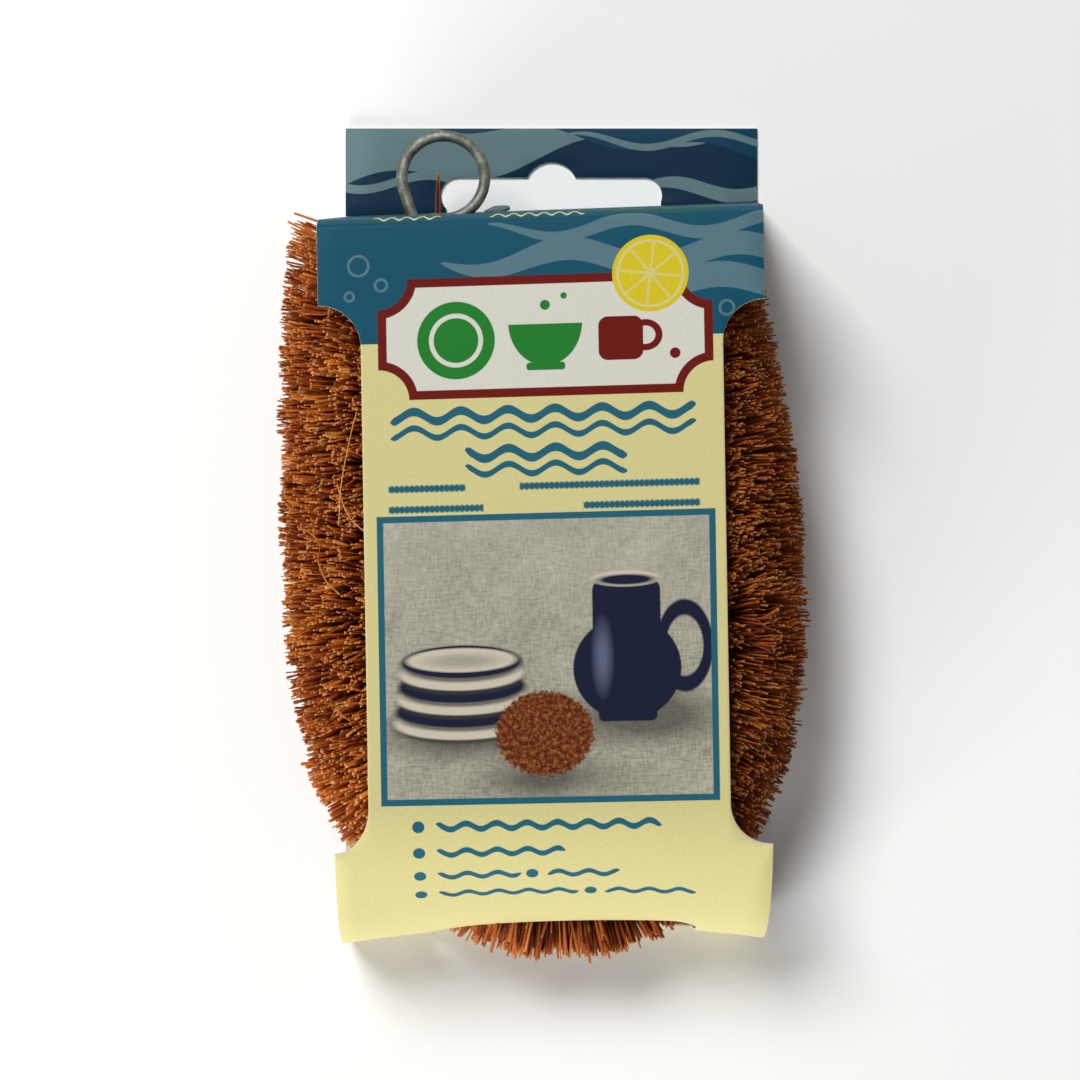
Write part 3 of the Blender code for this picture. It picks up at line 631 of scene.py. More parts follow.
def paintPlaque(tree, place, colour):
    # a plaque with scooped corners, where crockery and bubbles stand in for the name
    centre, size, scoop, border, soft = (0.6, 34.2), (57.0, 20.6), 5.2, 1.5, ink["soft"]
    corner = addNode(tree, "VectorMath", (awayFromPoint(tree, place, centre), (size[0] / 2, size[1] / 2, 0)),
                     "SUBTRACT")
    reach = addNode(tree, "VectorMath", (corner,), "LENGTH")
    for shrink, name in ((0.0, "red"), (border, "white")):
        cornerCut = addNode(tree, "Math", (scoop + shrink, reach), "SUBTRACT")
        sides = boxShape(tree, place, centre, (size[0] - 2 * shrink, size[1] - 2 * shrink))
        shape = addNode(tree, "Math", (sides, cornerCut), "MAXIMUM")
        colour = inkOn(tree, colour, shape, name)
    bowl = ellipseShape(tree, place, (0.6, 36.6), (12.6, 15.0))
    bowlTop = levelShape(tree, place, 36.2, above=False)
    colour = inkOn(tree, colour, addNode(tree, "Math", (bowl, bowlTop), "MAXIMUM"), "green")
    return inkShapes(tree, place, colour, (
        ("green", soft, 1, (-14.6, 33.8), (13.2, 13.2)), ("white", soft, 1, (-14.6, 33.8), (8.4, 8.4), None, 0.8),
        ("green", soft, 1, (0.6, 29.0), (6.6, 1.3), 0.5),
        ("red", soft, 1, (17.6, 33.8), (4.6, 4.2), None, 1.1), ("red", soft, 1, (13.4, 33.4), (7.6, 7.4), 1.6),
        ("red", soft, 1, (22.6, 30.6), (1.8, 1.8)), ("green", soft, 1, (0.6, 39.4), (1.7, 1.7)),
        ("green", soft, 1, (3.8, 40.9), (1.1, 1.1)),
    ))


def paintLemon(tree, place, colour):
    # a slice of lemon over the plaque's upper right corner
    centre, width, rind, segments = (18.6, 44.2), 13.0, 0.95, 8
    colour = inkShapes(tree, place, colour, (
        ("lemon", ink["soft"], 1, centre, (width, width)),
        ("yellow", ink["soft"], 1, centre, (width - 2 * rind, width - 2 * rind), None, 0.42),
    ))
    off = addNode(tree, "VectorMath", (place, (*centre, 0)), "SUBTRACT")
    parts = addNode(tree, "SeparateXYZ", (off,)).outputs
    angle = addNode(tree, "Math", (parts["Y"], parts["X"]), "ARCTAN2")
    angle = addNode(tree, "Math", (angle, segments / 2, 0.5), "MULTIPLY_ADD")
    swing = addNode(tree, "Math", (angle,), "SINE")
    swing = addNode(tree, "Math", (swing,), "ABSOLUTE")
    length = addNode(tree, "VectorMath", (off,), "LENGTH")
    spoke = addNode(tree, "Math", (swing, length), "MULTIPLY")
    spoke = addNode(tree, "Math", (spoke, 0.8), "SUBTRACT")
    inside = addNode(tree, "Math", (length, width / 2 - rind), "SUBTRACT")
    spoke = addNode(tree, "Math", (spoke, inside), "MAXIMUM")
    return inkOn(tree, colour, spoke, "yellow", soft=0.3, strength=0.8)


def paintRipples(tree, place, colour):
    # wavy strokes and dotted lines where the words would be
    colour = inkRipples(tree, place, colour, "frame", 1, (
        (-26.0, 26.0, 21.0, 0.85, 8.0, 1.5), (-26.0, 26.0, 18.2, 0.85, 8.0, 1.1),
        (-13.4, 14.2, 14.4, 0.85, 8.0, 1.5), (-13.4, 14.2, 11.7, 0.85, 8.0, 1.1),
        (-19.4, 19.0, -49.0, 0.5, 5.2, 1.1), (-19.4, 2.6, -53.9, 0.5, 5.2, 1.1),
        (-19.4, -5.0, -58.9, 0.5, 5.2, 1.1), (-0.6, 11.8, -58.9, 0.5, 5.2, 1.1),
        (-19.4, 4.8, -63.8, 0.5, 5.2, 1.1), (9.2, 25.0, -63.8, 0.5, 5.2, 1.1),
    ))
    spots = ((-22.4, -49.0), (-22.4, -53.9), (-22.4, -58.9), (-22.4, -63.8), (-3.2, -58.9), (6.8, -63.8))
    colour = inkShapes(tree, place, colour, [("frame", ink["soft"], 1, spot, (2.1, 2.1)) for spot in spots])
    pitch = 1.7
    parts = addNode(tree, "SeparateXYZ", (place,)).outputs
    folded = addNode(tree, "Math", (parts["X"], pitch / 2), "PINGPONG")
    dots = addNode(tree, "CombineXYZ", (folded, parts["Y"]))
    for level, spans in ((8.7, ((-26.5, -13.4), (-4.2, 26.4))), (5.2, ((-26.5, -10.4), (6.6, 26.4)))):
        dot = ellipseShape(tree, dots, (pitch / 4, level), (1.15, 1.25))
        for start, end in spans:
            stretch = boxShape(tree, place, ((start + end) / 2, level), (end - start, 2.2))
            both = addNode(tree, "Math", (dot, stretch), "MAXIMUM")
            colour = inkOn(tree, colour, both, "frame", soft=0.12)
    return colour


def paintPicture(tree, place, colour):
    # a framed still life on linen: a pile of plates, a dark jug and a round scrubber
    frameSize = [length + 2 * ink["pictureLine"] for length in ink["pictureSize"]]
    colour = inkShapes(tree, place, colour, [("frame", ink["soft"], 1, ink["picture"], frameSize, 0.0)])
    thread = addNode(tree, "TexNoise", (place, 0, 0.09, 4.0, 0.6))
    for stretch in ((2.6, 0.5, 1), (0.5, 2.6, 1)):
        weave = addNode(tree, "Mapping", {"Vector": place, "Scale": stretch})
        weave = addNode(tree, "TexNoise", (weave, 0, 1.0, 2.0))
        thread = addNode(tree, "Math", (thread, weave), "ADD")
    linen = addNode(tree, "ValToRGB", (addNode(tree, "MapRange", (thread, 1.0, 2.0)),))
    setRamp(linen, [(0.0, "#787465"), (0.5, ink["linen"]), (1.0, "#BDBAAA")])
    height = addNode(tree, "SeparateXYZ", (place,)).outputs["Y"]
    still = layOver(tree, linen, height, -24.0, 2.0, "#B0AEA1", 0.3)
    shapes = [("shade", 1.9, 0.75, (-14.0, -33.2), (27, 8)), ("shade", 1.9, 0.75, (16.5, -30.6), (24, 9)),
              ("shade", 1.9, 0.75, (-0.5, -41.0), (19, 6))]
    left, low = ink["lowPlate"]
    for step in range(ink["plates"]):  # from the lowest plate up
        level, size = low + ink["plateStep"] * step, (ink["plateSize"][0] - 0.5 * step, ink["plateSize"][1])
        shapes += [("shade", 0.25, 0.8, (left, level - 0.7), size),
                   ("navy" if step % 2 else "cream", 0.15, 1, (left, level), size)]
    shapes += [
        ("cream", 0.15, 1, (left, level + 0.25), (18.6, 4.1)), ("linen", 0.5, 1, (left, level + 0.1), (12.0, 2.3)),
        # jug: handle, body, neck, foot, glint and mouth
        ("navy", 0.15, 1, (23.4, -19.0), (8.0, 13.0), None, 1.7), ("navy", 0.12, 1, (13.6, -22.6), (18.4, 17.6)),
        ("navy", 0.12, 1, (13.6, -13.6), (11.6, 13.0), 2.4), ("navy", 0.12, 1, (13.6, -30.4), (10.0, 2.4), 1.0),
        ("glint", 0.8, 0.6, (9.4, -20.6), (2.6, 9.4)),
        ("cream", 0.15, 1, (13.6, -7.4), (11.6, 2.7)), ("navy", 0.2, 1, (13.6, -7.6), (9.8, 1.8)),
    ]
    still = inkShapes(tree, place, still, shapes)
    # scrubber: a ball of bristle with a ragged edge
    ragged = addNode(tree, "TexNoise", (place, 0, 1.6, 3.0))
    ragged = addNode(tree, "Math", (ragged, 2.2, -1.1), "MULTIPLY_ADD")
    ball = addNode(tree, "Math", (ellipseShape(tree, place, (-0.6, -33.4), (16.6, 14.4)), ragged), "ADD")
    streaks = addNode(tree, "TexNoise", (place, 0, 1.3, 5.0, 0.75))
    bristle = addNode(tree, "ValToRGB", (streaks,))
    setRamp(bristle, [(0.36, "#1D0A03"), (0.5, ink["coir"]), (0.66, "#A9662F")])
    still = inkOn(tree, still, ball, bristle, soft=0.25)
    return inkOn(tree, colour, boxShape(tree, place, ink["picture"], ink["pictureSize"]), still)


def sleeveArtwork(tree, place):
    head = levelShape(tree, place, ink["headLevel"])
    colour = inkOn(tree, hexColour(ink["yellow"]), head, "teal")
    colour = inkOn(tree, colour, levelShape(tree, place, ink["backHead"], above=False), "teal")
    colour = inkOn(tree, colour, head, paintWaves(tree, place, colour))
    # green bands with white ripples where the card turns over
    for start, end, strength in ((-30, -15.5, 0.9), (-10, 9, 0.9), (10, 31, 0.6)):
        colour = inkRipples(tree, place, colour, "leaf", strength, [(start, end, 56.3, 0.15, 13, 3.3, 0, 2)])
        if strength > 0.8:
            stroke = (start + 1.4, end - 1.4, 55.6, 0.6, 2.6, 0.62)
            colour = inkRipples(tree, place, colour, "white", 0.85, [stroke])
    for paint in (paintPlaque, paintLemon, paintRipples, paintPicture):
        colour = paint(tree, place, colour)
    # the back panel: a ruled frame with ripples, under its own head
    colour = inkShapes(tree, place, colour, [("frame", ink["soft"], 1, (0, -163), (58, 82), 3.0, 0.9)])
    return inkRipples(tree, place, colour, "frame", 1, [
        (-23, 23 - 9 * (row % 3), -131 - 10.4 * row, 0.8, 5.6, 1.2, row * 1.7) for row in range(7)])


def flapArtwork(tree, place):
    # the flap was punched out of one of the lighter waves
    colour = addNode(tree, "RGB")
    colour.outputs[0].default_value = hexColour(ink["flapTeal"])
    return colour


def tabArtwork(tree, place):
    # painted shade: the tab's dark and mid teal inks are the sleeve's teal painted darker
    colour = hexColour(ink["shadedTeal"])
    parts = addNode(tree, "SeparateXYZ", (place,)).outputs
    for phase, wave, height, level, slope, name in (
        (0.4, 38, 2.2, 9.4, -0.16, "greyTeal"), (2.0, 30, 1.4, 13.4, 0.10, "shadedMidTeal"),
    ):
        line = waveLine(tree, parts["X"], level, height, wave, phase)
        line = addNode(tree, "Math", (parts["X"], -slope, line), "MULTIPLY_ADD")
        colour = inkOn(tree, colour, addNode(tree, "Math", (line, parts["Y"]), "SUBTRACT"), name)
    return inkRipples(tree, place, colour, "greyTeal", 1, (
        (-50, -8, 4.6, 1.3, 25, 1.6, 1.0, 12), (14, 60, 3.4, 1.3, 25, 2.6, 2.4, 12),
        (2, 60, 12.4, 1.3, 25, 1.3, 0.3, 12),
    ))


# what lies over the print: varnish, and wear in millimetres across and as shares
varnish = {
    "roughness": 0.5, "specular": 0.09, "coat": 0.02, "coatRoughness": 0.3, "fibreBump": 0.10, "sagBump": 0.10,
    "wornEdge": (37.4, 38.0), "edgeWear": 0.55, "foldWear": 0.62, "wear": 0.13,
}


def printedBoard(name, artwork, folds):
    # folding boxboard, offset printed and satin varnished: even colour, soft sheen, pale where the folds rub
    made, tree = newMaterial(name)
    flat = addNode(tree, "UVMap", uv_map="flatCard")
    colour = artwork(tree, flat)
    # mottle of the ink in the paper's fibres, 0.6 mm
    mottle = addNode(tree, "TexNoise", (flat, 0, 1.6, 5.0, 0.65))
    shade = addNode(tree, "MapRange", (mottle, 0.3, 0.7, 0.95, 1.045))
    colour = addNode(tree, "VectorMath", {0: colour, "Scale": shade}, "SCALE")
    # rubbed ink along the folds, broken up every millimetre or so
    parts = addNode(tree, "SeparateXYZ", (flat,)).outputs
    rub = addNode(tree, "TexNoise", (flat, 0, 0.9, 6.0, 0.75))
    edge = addNode(tree, "Math", (parts["X"],), "ABSOLUTE")
    worn = addNode(tree, "MapRange", (edge, *varnish["wornEdge"], 0, varnish["edgeWear"]))
    for place, width in folds:
        near = addNode(tree, "MapRange", (away(tree, parts["Y"], place), width, 0, 0, varnish["foldWear"]))
        worn = addNode(tree, "Math", (near, worn), "MAXIMUM")
    worn = addNode(tree, "Math", (worn, rub), "MULTIPLY")
    colour = layOver(tree, colour, worn, 0.2, 0.5, "rubbed", varnish["wear"])
    # paper grain under the varnish and the long soft waves of hand-folded board
    grain = addNode(tree, "TexNoise", (flat, 0, 3.2, 4.0, 0.6))
    sag = addNode(tree, "TexNoise", (flat, 0, 0.055, 2.0))
    bump = addNode(tree, "Bump", {"Strength": varnish["sagBump"], "Distance": 0.9 * mm, "Height": sag})
    bump = addNode(tree, "Bump", {
        "Strength": varnish["fibreBump"], "Distance": 0.05 * mm, "Height": grain, "Normal": bump})
    gloss = addNode(tree, "MapRange", (mottle, 0, 1, varnish["roughness"] - 0.06, varnish["roughness"] + 0.10))
    shader = addNode(tree, "BsdfPrincipled", {
        "Base Color": colour, "Roughness": gloss, "Specular IOR Level": varnish["specular"],
        "Coat Weight": varnish["coat"], "Coat Roughness": varnish["coatRoughness"], "Normal": bump})
    addNode(tree, "OutputMaterial", {"Surface": shader})
    return made


def bareBoard():
    # the unprinted grey-white side of recycled boxboard, and its cut edges: matt, with flecks
    made, tree = newMaterial("bare_recycled_boxboard")
    place = addNode(tree, "TexCoord").outputs["Object"]
    fibres = addNode(tree, "TexNoise", (place, 0, 1400.0, 6.0, 0.7))
    tone = addNode(tree, "ValToRGB", {"Fac": fibres})
    setRamp(tone, [(0.3, "#ADA89D"), (0.5, "#CDC9BD"), (0.7, "#DCD9CE")])
    bump = addNode(tree, "Bump", {"Strength": 0.25, "Distance": 0.05 * mm, "Height": fibres})
    shader = addNode(tree, "BsdfPrincipled", {
        "Base Color": tone, "Roughness": 0.88, "IOR": 1.45, "Normal": bump})
    addNode(tree, "OutputMaterial", {"Surface": shader})
    return made


# wire: one length, its halves twisted round each other, with a round eye in the middle
wire = {
    "diameter": 2.0 * mm, "strandGap": 0.7 * mm, "pointsPerTurn": 16, "eyeRadius": 7.35 * mm,
    "eyeReach": 13.05 * mm, "eyeTurn": math.radians(-10), "eyePoints": 84, "hookGap": 0.55 * mm,
    "eyeClosed": math.radians(9), "legPoints": 18, "legDrop": 0.9 * mm,
    "hookTurn": math.radians(255), "hookPoints": 40, "tailSteps": 8,
}
twistRadius = (wire["diameter"] + wire["strandGap"]) / 2


def twistPoint(s, halfTurn):
    point, _, outward = stemFrame(np.asarray(s, float))
    angle = 2 * math.pi * stem["turns"] * np.asarray(s, float) / stemLength + math.pi * (halfTurn + 0.5)
    return point + twistRadius * (outward * np.cos(angle)[..., None] + up * np.sin(angle)[..., None])


def eyeRoute():
    neck, along, _ = stemFrame(np.array(0.0))
    line = Matrix.Rotation(wire["eyeTurn"], 3, "Z") @ Vector(-along)
    centre = Vector(neck) + line * wire["eyeReach"]
    facing = math.atan2(-line.y, -line.x)
    opening = math.acos(wire["eyeRadius"] / wire["eyeReach"])
    closed = wire["eyeClosed"]
    angles = facing + closed + (2 * math.pi - closed - opening) * np.linspace(0, 1, wire["eyePoints"] + 1)
    ring = np.stack([centre.x + wire["eyeRadius"] * np.cos(angles), centre.y + wire["eyeRadius"] * np.sin(angles),
                     0 * angles], -1)
    # the lower strand bends over from the neck into the foot of the ring
    first = twistPoint(0.0, 1)
    onward = np.array([-math.sin(facing + closed), math.cos(facing + closed), 0])
    reach = np.linalg.norm(ring[0] - first) * 0.5
    low = np.array([0, 0, wire["legDrop"]])
    t = np.linspace(0, 1, wire["legPoints"])[1:-1, None]
    leg = first * (1 - t) ** 3 + (first - along * reach * 0.8) * 3 * t * (1 - t) ** 2
    leg += (ring[0] - onward * reach - low) * 3 * t * t * (1 - t) + ring[0] * t ** 3
    return np.vstack([leg, ring])


def smoothRoute(controls, steps):
    points = [2 * controls[0] - controls[1], *controls, 2 * controls[-1] - controls[-2]]
    route = []
    for a, b, c, d in zip(points, points[1:], points[2:], points[3:]):
        for t in np.arange(steps) / steps:
            route.append(0.5 * (2 * b + (c - a) * t + (2 * a - 5 * b + 4 * c - d) * t * t
                                + (3 * b - a - 3 * c + d) * t ** 3))
    return route + [controls[-1]]


def tailRoute():
    # the longer tail goes over the short limb's end and hooks round the neck of the eye
    last = twistPoint(stemLength, 0)
    _, along, _ = stemFrame(np.array(stemLength))
    neck, down, _ = stemFrame(np.array(stem["neck"] / 2))
    hook = twistRadius + wire["diameter"] + wire["hookGap"]
    side = np.array([-down[1], down[0], 0])
    over = last + along * 2.2 * mm
    controls = [
        last + along * 1.0 * mm,
        over + up * 1.0 * mm - side * 0.2 * mm,
        np.array([over[0] - 3.0 * mm, neck[1] + 0.8 * mm, hook * 0.75]),
        np.array([over[0] - 7.5 * mm, neck[1] + 0.4 * mm, hook]),
        np.array([neck[0] + 12.0 * mm, neck[1] + 0.2 * mm, hook]),
        neck + up * hook + side * 3.0 * mm,
    ]
    turns = np.linspace(0, wire["hookTurn"], wire["hookPoints"])
    hooked = [neck + down * 0.3 * mm + hook * (up * math.cos(a) - side * math.sin(a)) for a in turns]
    return smoothRoute(controls, wire["tailSteps"]) + hooked


def makeWireMesh():
    turns = stem["turns"] * wire["pointsPerTurn"]
    places = stemLength * np.arange(turns + 1) / turns
    route = np.vstack([twistPoint(places[::-1], 1), eyeRoute(), twistPoint(places, 0), np.array(tailRoute())])
    curve = bpy.data.curves.new("wire", "CURVE")
    curve.dimensions = "3D"
    curve.bevel_depth = wire["diameter"] / 2
    curve.bevel_resolution = 4
    curve.use_fill_caps = True
    addSpline(curve, toObject(route))
    mesh = curveMesh(curve)
    bm = bmesh.new()
    bm.from_mesh(mesh)
    bmesh.ops.remove_doubles(bm, verts=bm.verts, dist=0.001 * mm)
    bmesh.ops.recalc_face_normals(bm, faces=bm.faces)
    for face in bm.faces:
        face.smooth = True
    bm.to_mesh(mesh)
    bm.free()
    return mesh


def galvanisedSteel():
    # drawn steel wire, hot-dip galvanised: dull grey metal, cloudy zinc, darker smears and fine drawing lines
    made, tree = newMaterial("galvanised_drawn_steel")
    place = addNode(tree, "TexCoord").outputs["Object"]
    cloud = addNode(tree, "TexNoise", (place, 0, 650.0, 5.0, 0.65))
    smear = addNode(tree, "TexNoise", (place, 0, 210.0, 3.0))
    tone = addNode(tree, "ValToRGB", {"Fac": cloud})
    setRamp(tone, [(0.32, "#50524A"), (0.5, "#6C6E65"), (0.66, "#84867C")])
    colour = layOver(tree, tone, smear, 0.5, 0.66, "#33352F", 0.42)
    rough = addNode(tree, "MapRange", (cloud, 0, 1, 0.7, 0.48))
    lines = addNode(tree, "TexNoise", (place, 0, 2600.0, 3.0))
    bump = addNode(tree, "Bump", {"Strength": 0.35, "Distance": 0.06 * mm, "Height": lines})
    shader = addNode(tree, "BsdfPrincipled", {
        "Base Color": colour, "Metallic": 0.85, "Roughness": rough, "Normal": bump})
    addNode(tree, "OutputMaterial", {"Surface": shader})
    return made


# coir fibres: over two thousand to each turn of the wire
coir = {
    "seed": 7, "perBundle": 2900, "innerThin": 0.5, "inHelix": 0.62, "helixSpread": 0.6,
    "bendExtra": 1.2, "bendThick": 1.3, "bendLength": 30 * mm,  # more and thicker ones round the bend
    "rootRadius": 2.3 * mm, "thick": 0.205 * mm, "across": 23.3 * mm, "high": 20.3 * mm,
    "grid": 64, "gridRadius": 21 * mm, "tuft": 3.3 * mm, "tuftLean": 1.0 * mm, "drift": 1.1 * mm,
    "tuftPull": (0.25, 0.8), "tuftCut": 0.04, "innerAngle": -0.15, "bothLimbs": 0.3 * mm,
    "lean": 0.065, "turnNoise": 0.045, "shortShare": 0.42, "shortCut": (0.68, 0.97), "uneven": 0.016,
    "longShare": 0.012, "longest": 1.03, "spread": 0.34, "tipThin": 0.96,
    # the share pressed down by the card, their stretch along the stem, and their angles before and after
    "pressed": 0.75, "pressReach": 22 * mm, "pressFrom": (-0.1, 1.2), "pressTo": (-0.5, -0.06),
    "bulges": ((0.06, 12 * mm, 9 * mm), (0.055, -21 * mm, 8 * mm)),  # growth, place and width
    "eyeGrow": 0.06, "eyeLength": 45 * mm, "shortGrow": -0.045, "shortLength": 35 * mm,
    "eyeFan": math.radians(17), "shortFan": math.radians(10), "fanLength": 13 * mm,
    "margin": 0.25 * mm, "tries": 36, "firstTry": 0.12, "stepBack": 0.03, "shortest": 0.15,
    "bow": 0.5 * mm, "bowMargin": 0.1 * mm, "crookedShare": 0.08, "crooked": 2.4, "pressedBow": 0.4,
    "floorGap": 0.75 * mm, "frontGap": 0.15 * mm, "tuftTint": 0.5,
}
fibreStart, fibreEnd = stem["neck"], stemLength - stem["stub"]


def inCard(points, margin):
    # whether points lie in the sleeve's card, or nearer to it than the margin
    x, y, z = points.T
    half, waist = sleeve["width"] / 2 + margin, sleeve["waist"] / 2 + margin
    corner, wall, depth = half - waist, sleeve["card"] + margin, sleeve["depth"]
    skew, lean, bow = askewAt(y, z)
    across = np.abs(x + lean - sleeve["x"])
    straightY = y - skew * (x - sleeve["x"]) - bow * np.maximum(1 - (across / half) ** 2, 0)
    # the front panel is narrower between its two waist notches
    top, bottom = sleeve["notchTop"], sleeve["notchBottom"]
    into = np.clip(np.maximum(straightY - (top - corner), bottom + corner - straightY), 0, corner)
    notched = (straightY < top) & (straightY > bottom)
    edge = np.where(notched, half - np.sqrt(corner ** 2 - into ** 2), half)
    back = (z < wall) & (across < half)
    front = (z > depth - wall) & (across < edge) & (straightY > sleeve["curveY"])
    plane = sleeve["creaseY"] + (sleeve["frontTop"] - sleeve["creaseY"]) * z / depth
    upper = (straightY > plane - wall) & (straightY < plane + margin) & (across < half)
    # the lower curve, apart from its hole
    reach, high = sleeve["curveY"] - sleeve["bottomY"], depth - sleeve["lowHeight"]
    far, above = sleeve["curveY"] - straightY, np.maximum(z - sleeve["lowHeight"], 0)
    curve = (far > 0) & (across < edge) & (np.hypot(far / (reach - wall), above / (high - wall)) > 1)
    curve &= np.hypot(far / (reach + margin), above / (high + margin)) < 1
    fromHole, halfHole = x - sleeve["holeX"], sleeve["holeWidth"] / 2
    holeTop = sleeve["holeTop"] + sleeve["holeTilt"] * fromHole - margin
    inHole = (np.abs(fromHole) < halfHole - margin) & (z > sleeve["holeLow"] + margin) & (z < holeTop)
    sweepX = np.maximum(0, sleeve["holeX"] - halfHole + sleeve["holeSweep"] + margin - x)
    sweepZ = np.maximum(0, z - holeTop + sleeve["holeRise"])
    inHole &= np.hypot(sweepX / sleeve["holeSweep"], sweepZ / sleeve["holeRise"]) < 1
    return back | front | upper | (curve & ~inHole)


def layStrand(root, tip, sway):
    # four points from the wire to the tip, the middle ones off the straight line
    steps = ((0, 0), (1 / 3, 0.7), (2 / 3, 1.0), (1, 0.0))
    return toObject(np.stack([root + (tip - root) * t + sway * give for t, give in steps], 1))


def growFibres(number, rng):
    low, high = (fibreStart + (fibreEnd - fibreStart) * turn / stem["turns"] for turn in (number, number + 1))
    inBend = abs((low + high) / 2 - stemLength / 2) < coir["bendLength"]
    count = int(coir["perBundle"] * (coir["bendExtra"] if inBend else 1))
    s = rng.uniform(low, high, count)
    helix = 2 * math.pi * stem["turns"] * s / stemLength + math.pi * rng.integers(0, 2, count)
    angle = np.where(rng.random(count) < coir["inHelix"], helix + rng.normal(0, coir["helixSpread"], count),
                     rng.uniform(0, 2 * math.pi, count))
    keep = (np.cos(angle) > coir["innerAngle"]) | (rng.random(count) > coir["innerThin"])
    s, angle = s[keep], angle[keep]
    count = len(s)
    angle = (angle + math.pi) % (2 * math.pi) - math.pi
    point, along, outward = stemFrame(s)

    # how far the fibres reach: an oval, cut short on the inner side where the limbs meet
    near = 3 * mm
    before, after = (stemFrame(np.clip(s + way, 0, stemLength))[1] for way in (-near, near))
    bend = np.arccos(np.clip((before * after).sum(-1), -1, 1))
    bendRadius = 2 * near / np.maximum(bend, 1e-3)
    toMiddle = (np.abs(point[:, 0]) - coir["bothLimbs"]) / np.maximum(np.abs(outward[:, 0]), 0.05)
    inner = np.minimum(np.minimum(coir["across"], 0.6 * bendRadius), toMiddle)

    # tips gather in tufts, and patches of tufts lean together
    size = (coir["grid"], coir["grid"])
    tufts = rng.uniform(-0.4, 0.4, (*size, 2))
    pull = rng.uniform(*coir["tuftPull"], size)
    tuftLean = rng.normal(0, coir["tuftLean"], (*size, 2))
    tuftLength = -np.abs(rng.normal(0, coir["tuftCut"], size))
    grid = np.stack([s, angle * coir["gridRadius"]], -1) / coir["tuft"]
    cell = np.floor(grid).astype(int)
    a, b = (cell % coir["grid"]).T
    # each tip goes part of the way to its cell's tuft
    toTuft = (cell + 0.5 + tufts[a, b] - grid) * coir["tuft"] * pull[a, b][:, None] + tuftLean[a, b]
    # slow waves along the stem and round it
    drift = np.sin(s / (5.3 * mm) + 1.7 * np.sin(2 * angle + 0.6)) + 0.7 * np.sin(s / (12 * mm) - 3 * angle + 2)
    swirl = np.sin(s / (7.1 * mm) + 3 * angle)
    toTuft += coir["drift"] * np.stack([drift, 0.6 * swirl], -1)
    tipAngle = angle + toTuft[:, 1] / coir["gridRadius"] + rng.normal(0, coir["turnNoise"], count)
    # round the bend the card presses most of them down into the lower hole
    pressed = (tipAngle > coir["pressFrom"][0]) & (tipAngle < coir["pressFrom"][1])
    pressed &= (np.abs(s - stemLength / 2) < coir["pressReach"]) & (rng.random(count) < coir["pressed"])
    tipAngle = np.where(pressed, rng.uniform(*coir["pressTo"], count), tipAngle)
    side = np.cos(angle) > 0
    reach = 1 / np.hypot(np.cos(tipAngle) / np.where(side, coir["across"], inner), np.sin(tipAngle) / coir["high"])
    short = rng.random(count) < coir["shortShare"]
    cut = np.where(short, rng.uniform(*coir["shortCut"], count), 1 - np.abs(rng.normal(0, coir["uneven"], count)))
    reach *= cut + tuftLength[a, b]
    reach *= np.where(rng.random(count) < coir["longShare"], rng.uniform(1.0, coir["longest"], count), 1)
    for growth, place, width in coir["bulges"]:
        reach *= 1 + growth * np.exp(-((s - stemLength / 2 - place) / width) ** 2) * side
    reach *= 1 + coir["eyeGrow"] * np.clip(1 - s / coir["eyeLength"], 0, 1)
    reach *= 1 + coir["shortGrow"] * np.clip(1 - (stemLength - s) / coir["shortLength"], 0, 1)

    # both ends of the brush fan out
    fromEye = np.clip(1 - (s - fibreStart) / coir["fanLength"], 0, 1)
    fromShort = np.clip(1 - (fibreEnd - s) / coir["fanLength"], 0, 1)
    tilt = coir["shortFan"] * fromShort - coir["eyeFan"] * fromEye * rng.uniform(0.75, 1.05, count)
    shift = np.tan(tilt) * reach + toTuft[:, 0] + rng.normal(0, coir["lean"], count) * reach
    tipSide = outward * np.cos(tipAngle)[:, None] + up * np.sin(tipAngle)[:, None]
    rootSide = outward * np.cos(angle)[:, None] + up * np.sin(angle)[:, None]
    toTip = tipSide * reach[:, None] + along * shift[:, None]

    # cut short where they meet the card
    share, free = np.ones(count), np.ones(count, bool)
    for tried in np.linspace(coir["firstTry"], 1.0, coir["tries"]):
        hit = free & inCard(toObject(point + toTip * tried), coir["margin"])
        share[hit] = tried - coir["stepBack"]
        free &= ~hit
    share = np.maximum(share, coir["shortest"])
    cropped = share < 0.99
    share[cropped] *= rng.uniform(0.95, 1.0, cropped.sum())
    tip = point + toTip * share[:, None]
    root = point + rootSide * coir["rootRadius"]
    sway = rng.normal(0, 1, (count, 3)) * coir["bow"]
    sway *= np.where(rng.random(count) < coir["crookedShare"], coir["crooked"], 1)[:, None]
    sway *= np.where(pressed, coir["pressedBow"], 1)[:, None]
    swayed = layStrand(root, tip, sway * share[:, None])
    # the ones that would sway into the card stay straight
    touching = np.zeros(count, bool)
    for i in range(3):
        for t in np.linspace(0, 1, 9):
            touching |= inCard(swayed[:, i] * (1 - t) + swayed[:, i + 1] * t, coir["bowMargin"])
    points = np.where(touching[:, None, None], layStrand(root, tip, 0 * sway), swayed)
    points[..., 2] = np.clip(points[..., 2], coir["floorGap"], sleeve["depth"] - coir["frontGap"])
    thick = coir["thick"] * np.clip(rng.lognormal(0, coir["spread"], count), 0.5, 1.9)
    thick *= coir["bendThick"] if inBend else 1
    taper = np.array([1.0, 1.0, 1.0, coir["tipThin"]])
    # fibres of one tuft are alike in colour
    tuftTint = rng.random(size)[a, b]
    tints = coir["tuftTint"] * tuftTint + (1 - coir["tuftTint"]) * rng.random(count)
    return points, thick[:, None] * taper, tints


